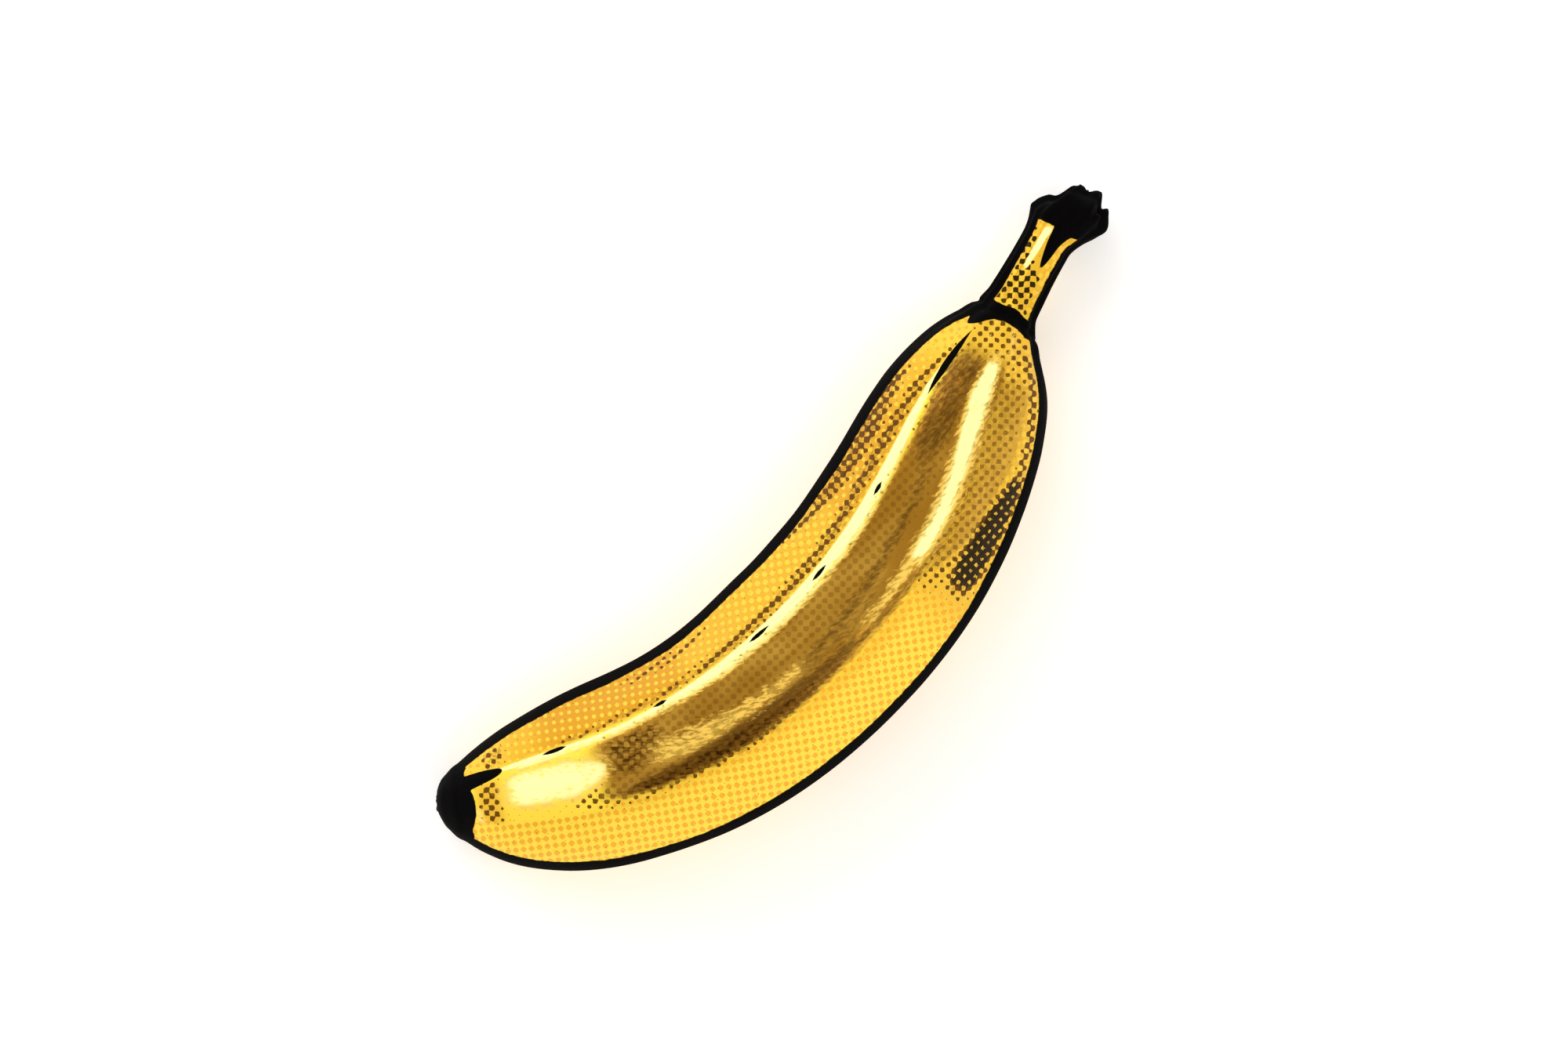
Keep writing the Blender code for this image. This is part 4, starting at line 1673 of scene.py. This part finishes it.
@dataclass(frozen=True)
class DryFibreFinish:
    """Dried plant fibre, nearly black in its hollows and dark brown on its ridges."""

    hollow: tuple[float, ...] = linear(10, 8, 7)
    ridge: tuple[float, ...] = linear(64, 44, 26)

    def material(self, scratch: bpy.types.NodeTree) -> bpy.types.Material:
        """The finished material.

        Args:
            scratch: the node group of scratches.

        Returns:
            The material.
        """
        material = bpy.data.materials.new("dry fibre")
        material.use_nodes = True
        g = Graph(material.node_tree)
        shader = material.node_tree.nodes["Principled BSDF"]
        grown = g.values(GROWN, "Vector")
        hair = g.group(scratch, place=grown, turn=0.1).outputs[0]
        lumps = g.noise(grown, 1500, 3.0)
        share = g.math("MULTIPLY", g.spread(lumps, 0.40, 0.75), g.math("MULTIPLY_ADD", hair, 0.7, 0.3))
        g.feed(shader.inputs["Base Color"], g.mix(share, self.hollow, self.ridge))
        g.feed(shader.inputs["Roughness"], g.blend(share, 0.85, 0.60))
        shader.inputs["Specular IOR Level"].default_value = 0.2
        bump = g.node("ShaderNodeBump")
        bump.inputs["Strength"].default_value = 0.7
        bump.inputs["Distance"].default_value = 0.12 * MM
        g.feed(bump.inputs["Height"], g.math("ADD", hair, lumps))
        g.feed(shader.inputs["Normal"], bump.outputs[0])
        return material


# ---------------------------------------------------------------------------------------------------------
# The studio
# ---------------------------------------------------------------------------------------------------------


@dataclass(frozen=True)
class SoftBox:
    """A lamp panel that faces the fruit, placed by its angle from straight up and its angle round."""

    name: str
    tilt: float
    azimuth: float
    distance: float
    size: tuple[float, float]
    watts: float

    def build(self, aim: Vector) -> None:
        """Hangs the panel.

        Args:
            aim: the point that the panels face.
        """
        data = bpy.data.lights.new(self.name, "AREA")
        data.shape = "RECTANGLE"
        data.size, data.size_y = self.size
        data.energy = self.watts
        lamp = bpy.data.objects.new(self.name, data)
        bpy.context.scene.collection.objects.link(lamp)
        tilt, azimuth = radians(self.tilt), radians(self.azimuth)
        out = Vector((sin(tilt) * cos(azimuth), sin(tilt) * sin(azimuth), cos(tilt)))
        lamp.location = aim + out * self.distance
        lamp.rotation_euler = out.to_track_quat("Z", "Y").to_euler()


@dataclass(frozen=True)
class Studio:
    """A pale floor, soft panels, and a camera that looks straight down."""

    roll: float = radians(43.88)
    lens: float = 200.0
    frame_width: float = 0.3146
    aim_offset: tuple[float, float] = (-0.0013, 0.0147)
    sensor: float = 36.0
    floor_size: float = 6.0
    floor_gap: float = 0.05 * MM  # keeps the floor clear of the underside
    floor_tone: float = 0.93
    floor_glow: float = 0.20
    sky: float = 0.80

    def floor(self) -> bpy.types.Object:
        """A wide pale sweep under the fruit.

        Returns:
            The floor.
        """
        bpy.ops.object.select_all(action="DESELECT")
        under = CAD_BOX[0][2] - self.floor_gap
        bpy.ops.mesh.primitive_plane_add(size=self.floor_size, location=(0, 0, under))
        sweep = bpy.context.object
        sweep.name = sweep.data.name = "floor"
        sweep.data.transform(sweep.matrix_world)
        sweep.matrix_world.identity()
        material = bpy.data.materials.new("pale floor")
        material.use_nodes = True
        shader = material.node_tree.nodes["Principled BSDF"]
        shader.inputs["Base Color"].default_value = (*[self.floor_tone] * 3, 1)
        shader.inputs["Roughness"].default_value = 0.9
        shader.inputs["Specular IOR Level"].default_value = 0.0
        shader.inputs["Emission Color"].default_value = (1, 1, 1, 1)
        shader.inputs["Emission Strength"].default_value = self.floor_glow
        sweep.data.materials.append(material)
        return sweep

    def lights(self, aim: Vector) -> None:
        """An arc of panels on the inner curve's side, one low over the outer side, and a soft fill.

        Args:
            aim: the point that the panels face.
        """
        for number in range(5):
            azimuth = 50 + 16 * number
            SoftBox(f"arc {number}", 56, azimuth, 0.9, (0.26, 0.46), 0.7).build(aim)
        SoftBox("outer panel", 24, -75, 0.9, (0.5, 0.2), 0.6).build(aim)
        SoftBox("outer fill", 64, -80, 1.3, (1.2, 0.7), 3.0).build(aim)
        world = bpy.data.worlds.new("studio")
        bpy.context.scene.world = world
        world.use_nodes = True
        background = world.node_tree.nodes["Background"]
        background.inputs["Color"].default_value = (1.0, 0.98, 0.95, 1)
        background.inputs["Strength"].default_value = self.sky

    def camera(self) -> None:
        """Looks straight down, turned so that the stem points to the upper right."""
        low, high = Vector(CAD_BOX[0]), Vector(CAD_BOX[1])
        data = bpy.data.cameras.new("camera")
        data.lens = self.lens
        data.sensor_width = self.sensor
        camera = bpy.data.objects.new("camera", data)
        bpy.context.scene.collection.objects.link(camera)
        height = self.frame_width * self.lens / self.sensor
        middle = (low + high) / 2
        offset = Vector((*self.aim_offset, height))
        camera.location = middle + offset
        camera.rotation_euler = (0, 0, -self.roll)
        data.clip_start, data.clip_end = 0.01, 20
        bpy.context.scene.camera = camera

    def build(self) -> None:
        """Sets up the floor, the lights and the camera."""
        self.floor()
        self.lights((Vector(CAD_BOX[0]) + Vector(CAD_BOX[1])) / 2)
        self.camera()
        bpy.context.scene.view_settings.view_transform = "Standard"


# ---------------------------------------------------------------------------------------------------------
# Putting it together
# ---------------------------------------------------------------------------------------------------------


def hand_over(piece: bpy.types.Object) -> None:
    """Makes the piece ride on the fruit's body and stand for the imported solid.

    Args:
        piece: the piece to work on.
    """
    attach(piece, BODY)
    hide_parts(NODE)
    log.info("%s: %d faces", piece.name, len(piece.data.polygons))


def main() -> None:
    """Builds the fruit and its studio."""
    logging.basicConfig(level=logging.INFO, format="%(name)s: %(message)s")
    form = FruitForm()
    Studio().build()
    scratch = scratches()
    skin = Peel(form)
    peel, seat = skin.build()
    peel.data.materials.append(PeelFinish().material(scratch))
    fibre = DryFibreFinish().material(scratch)
    ends = (CrownFibres(form, skin.crown, seat).build(), BlossomScar(form, seat).build())
    for end in ends:
        end.data.materials.append(fibre)
    for piece in (peel, *ends):
        hand_over(piece)


if __name__ == "__main__":
    main()
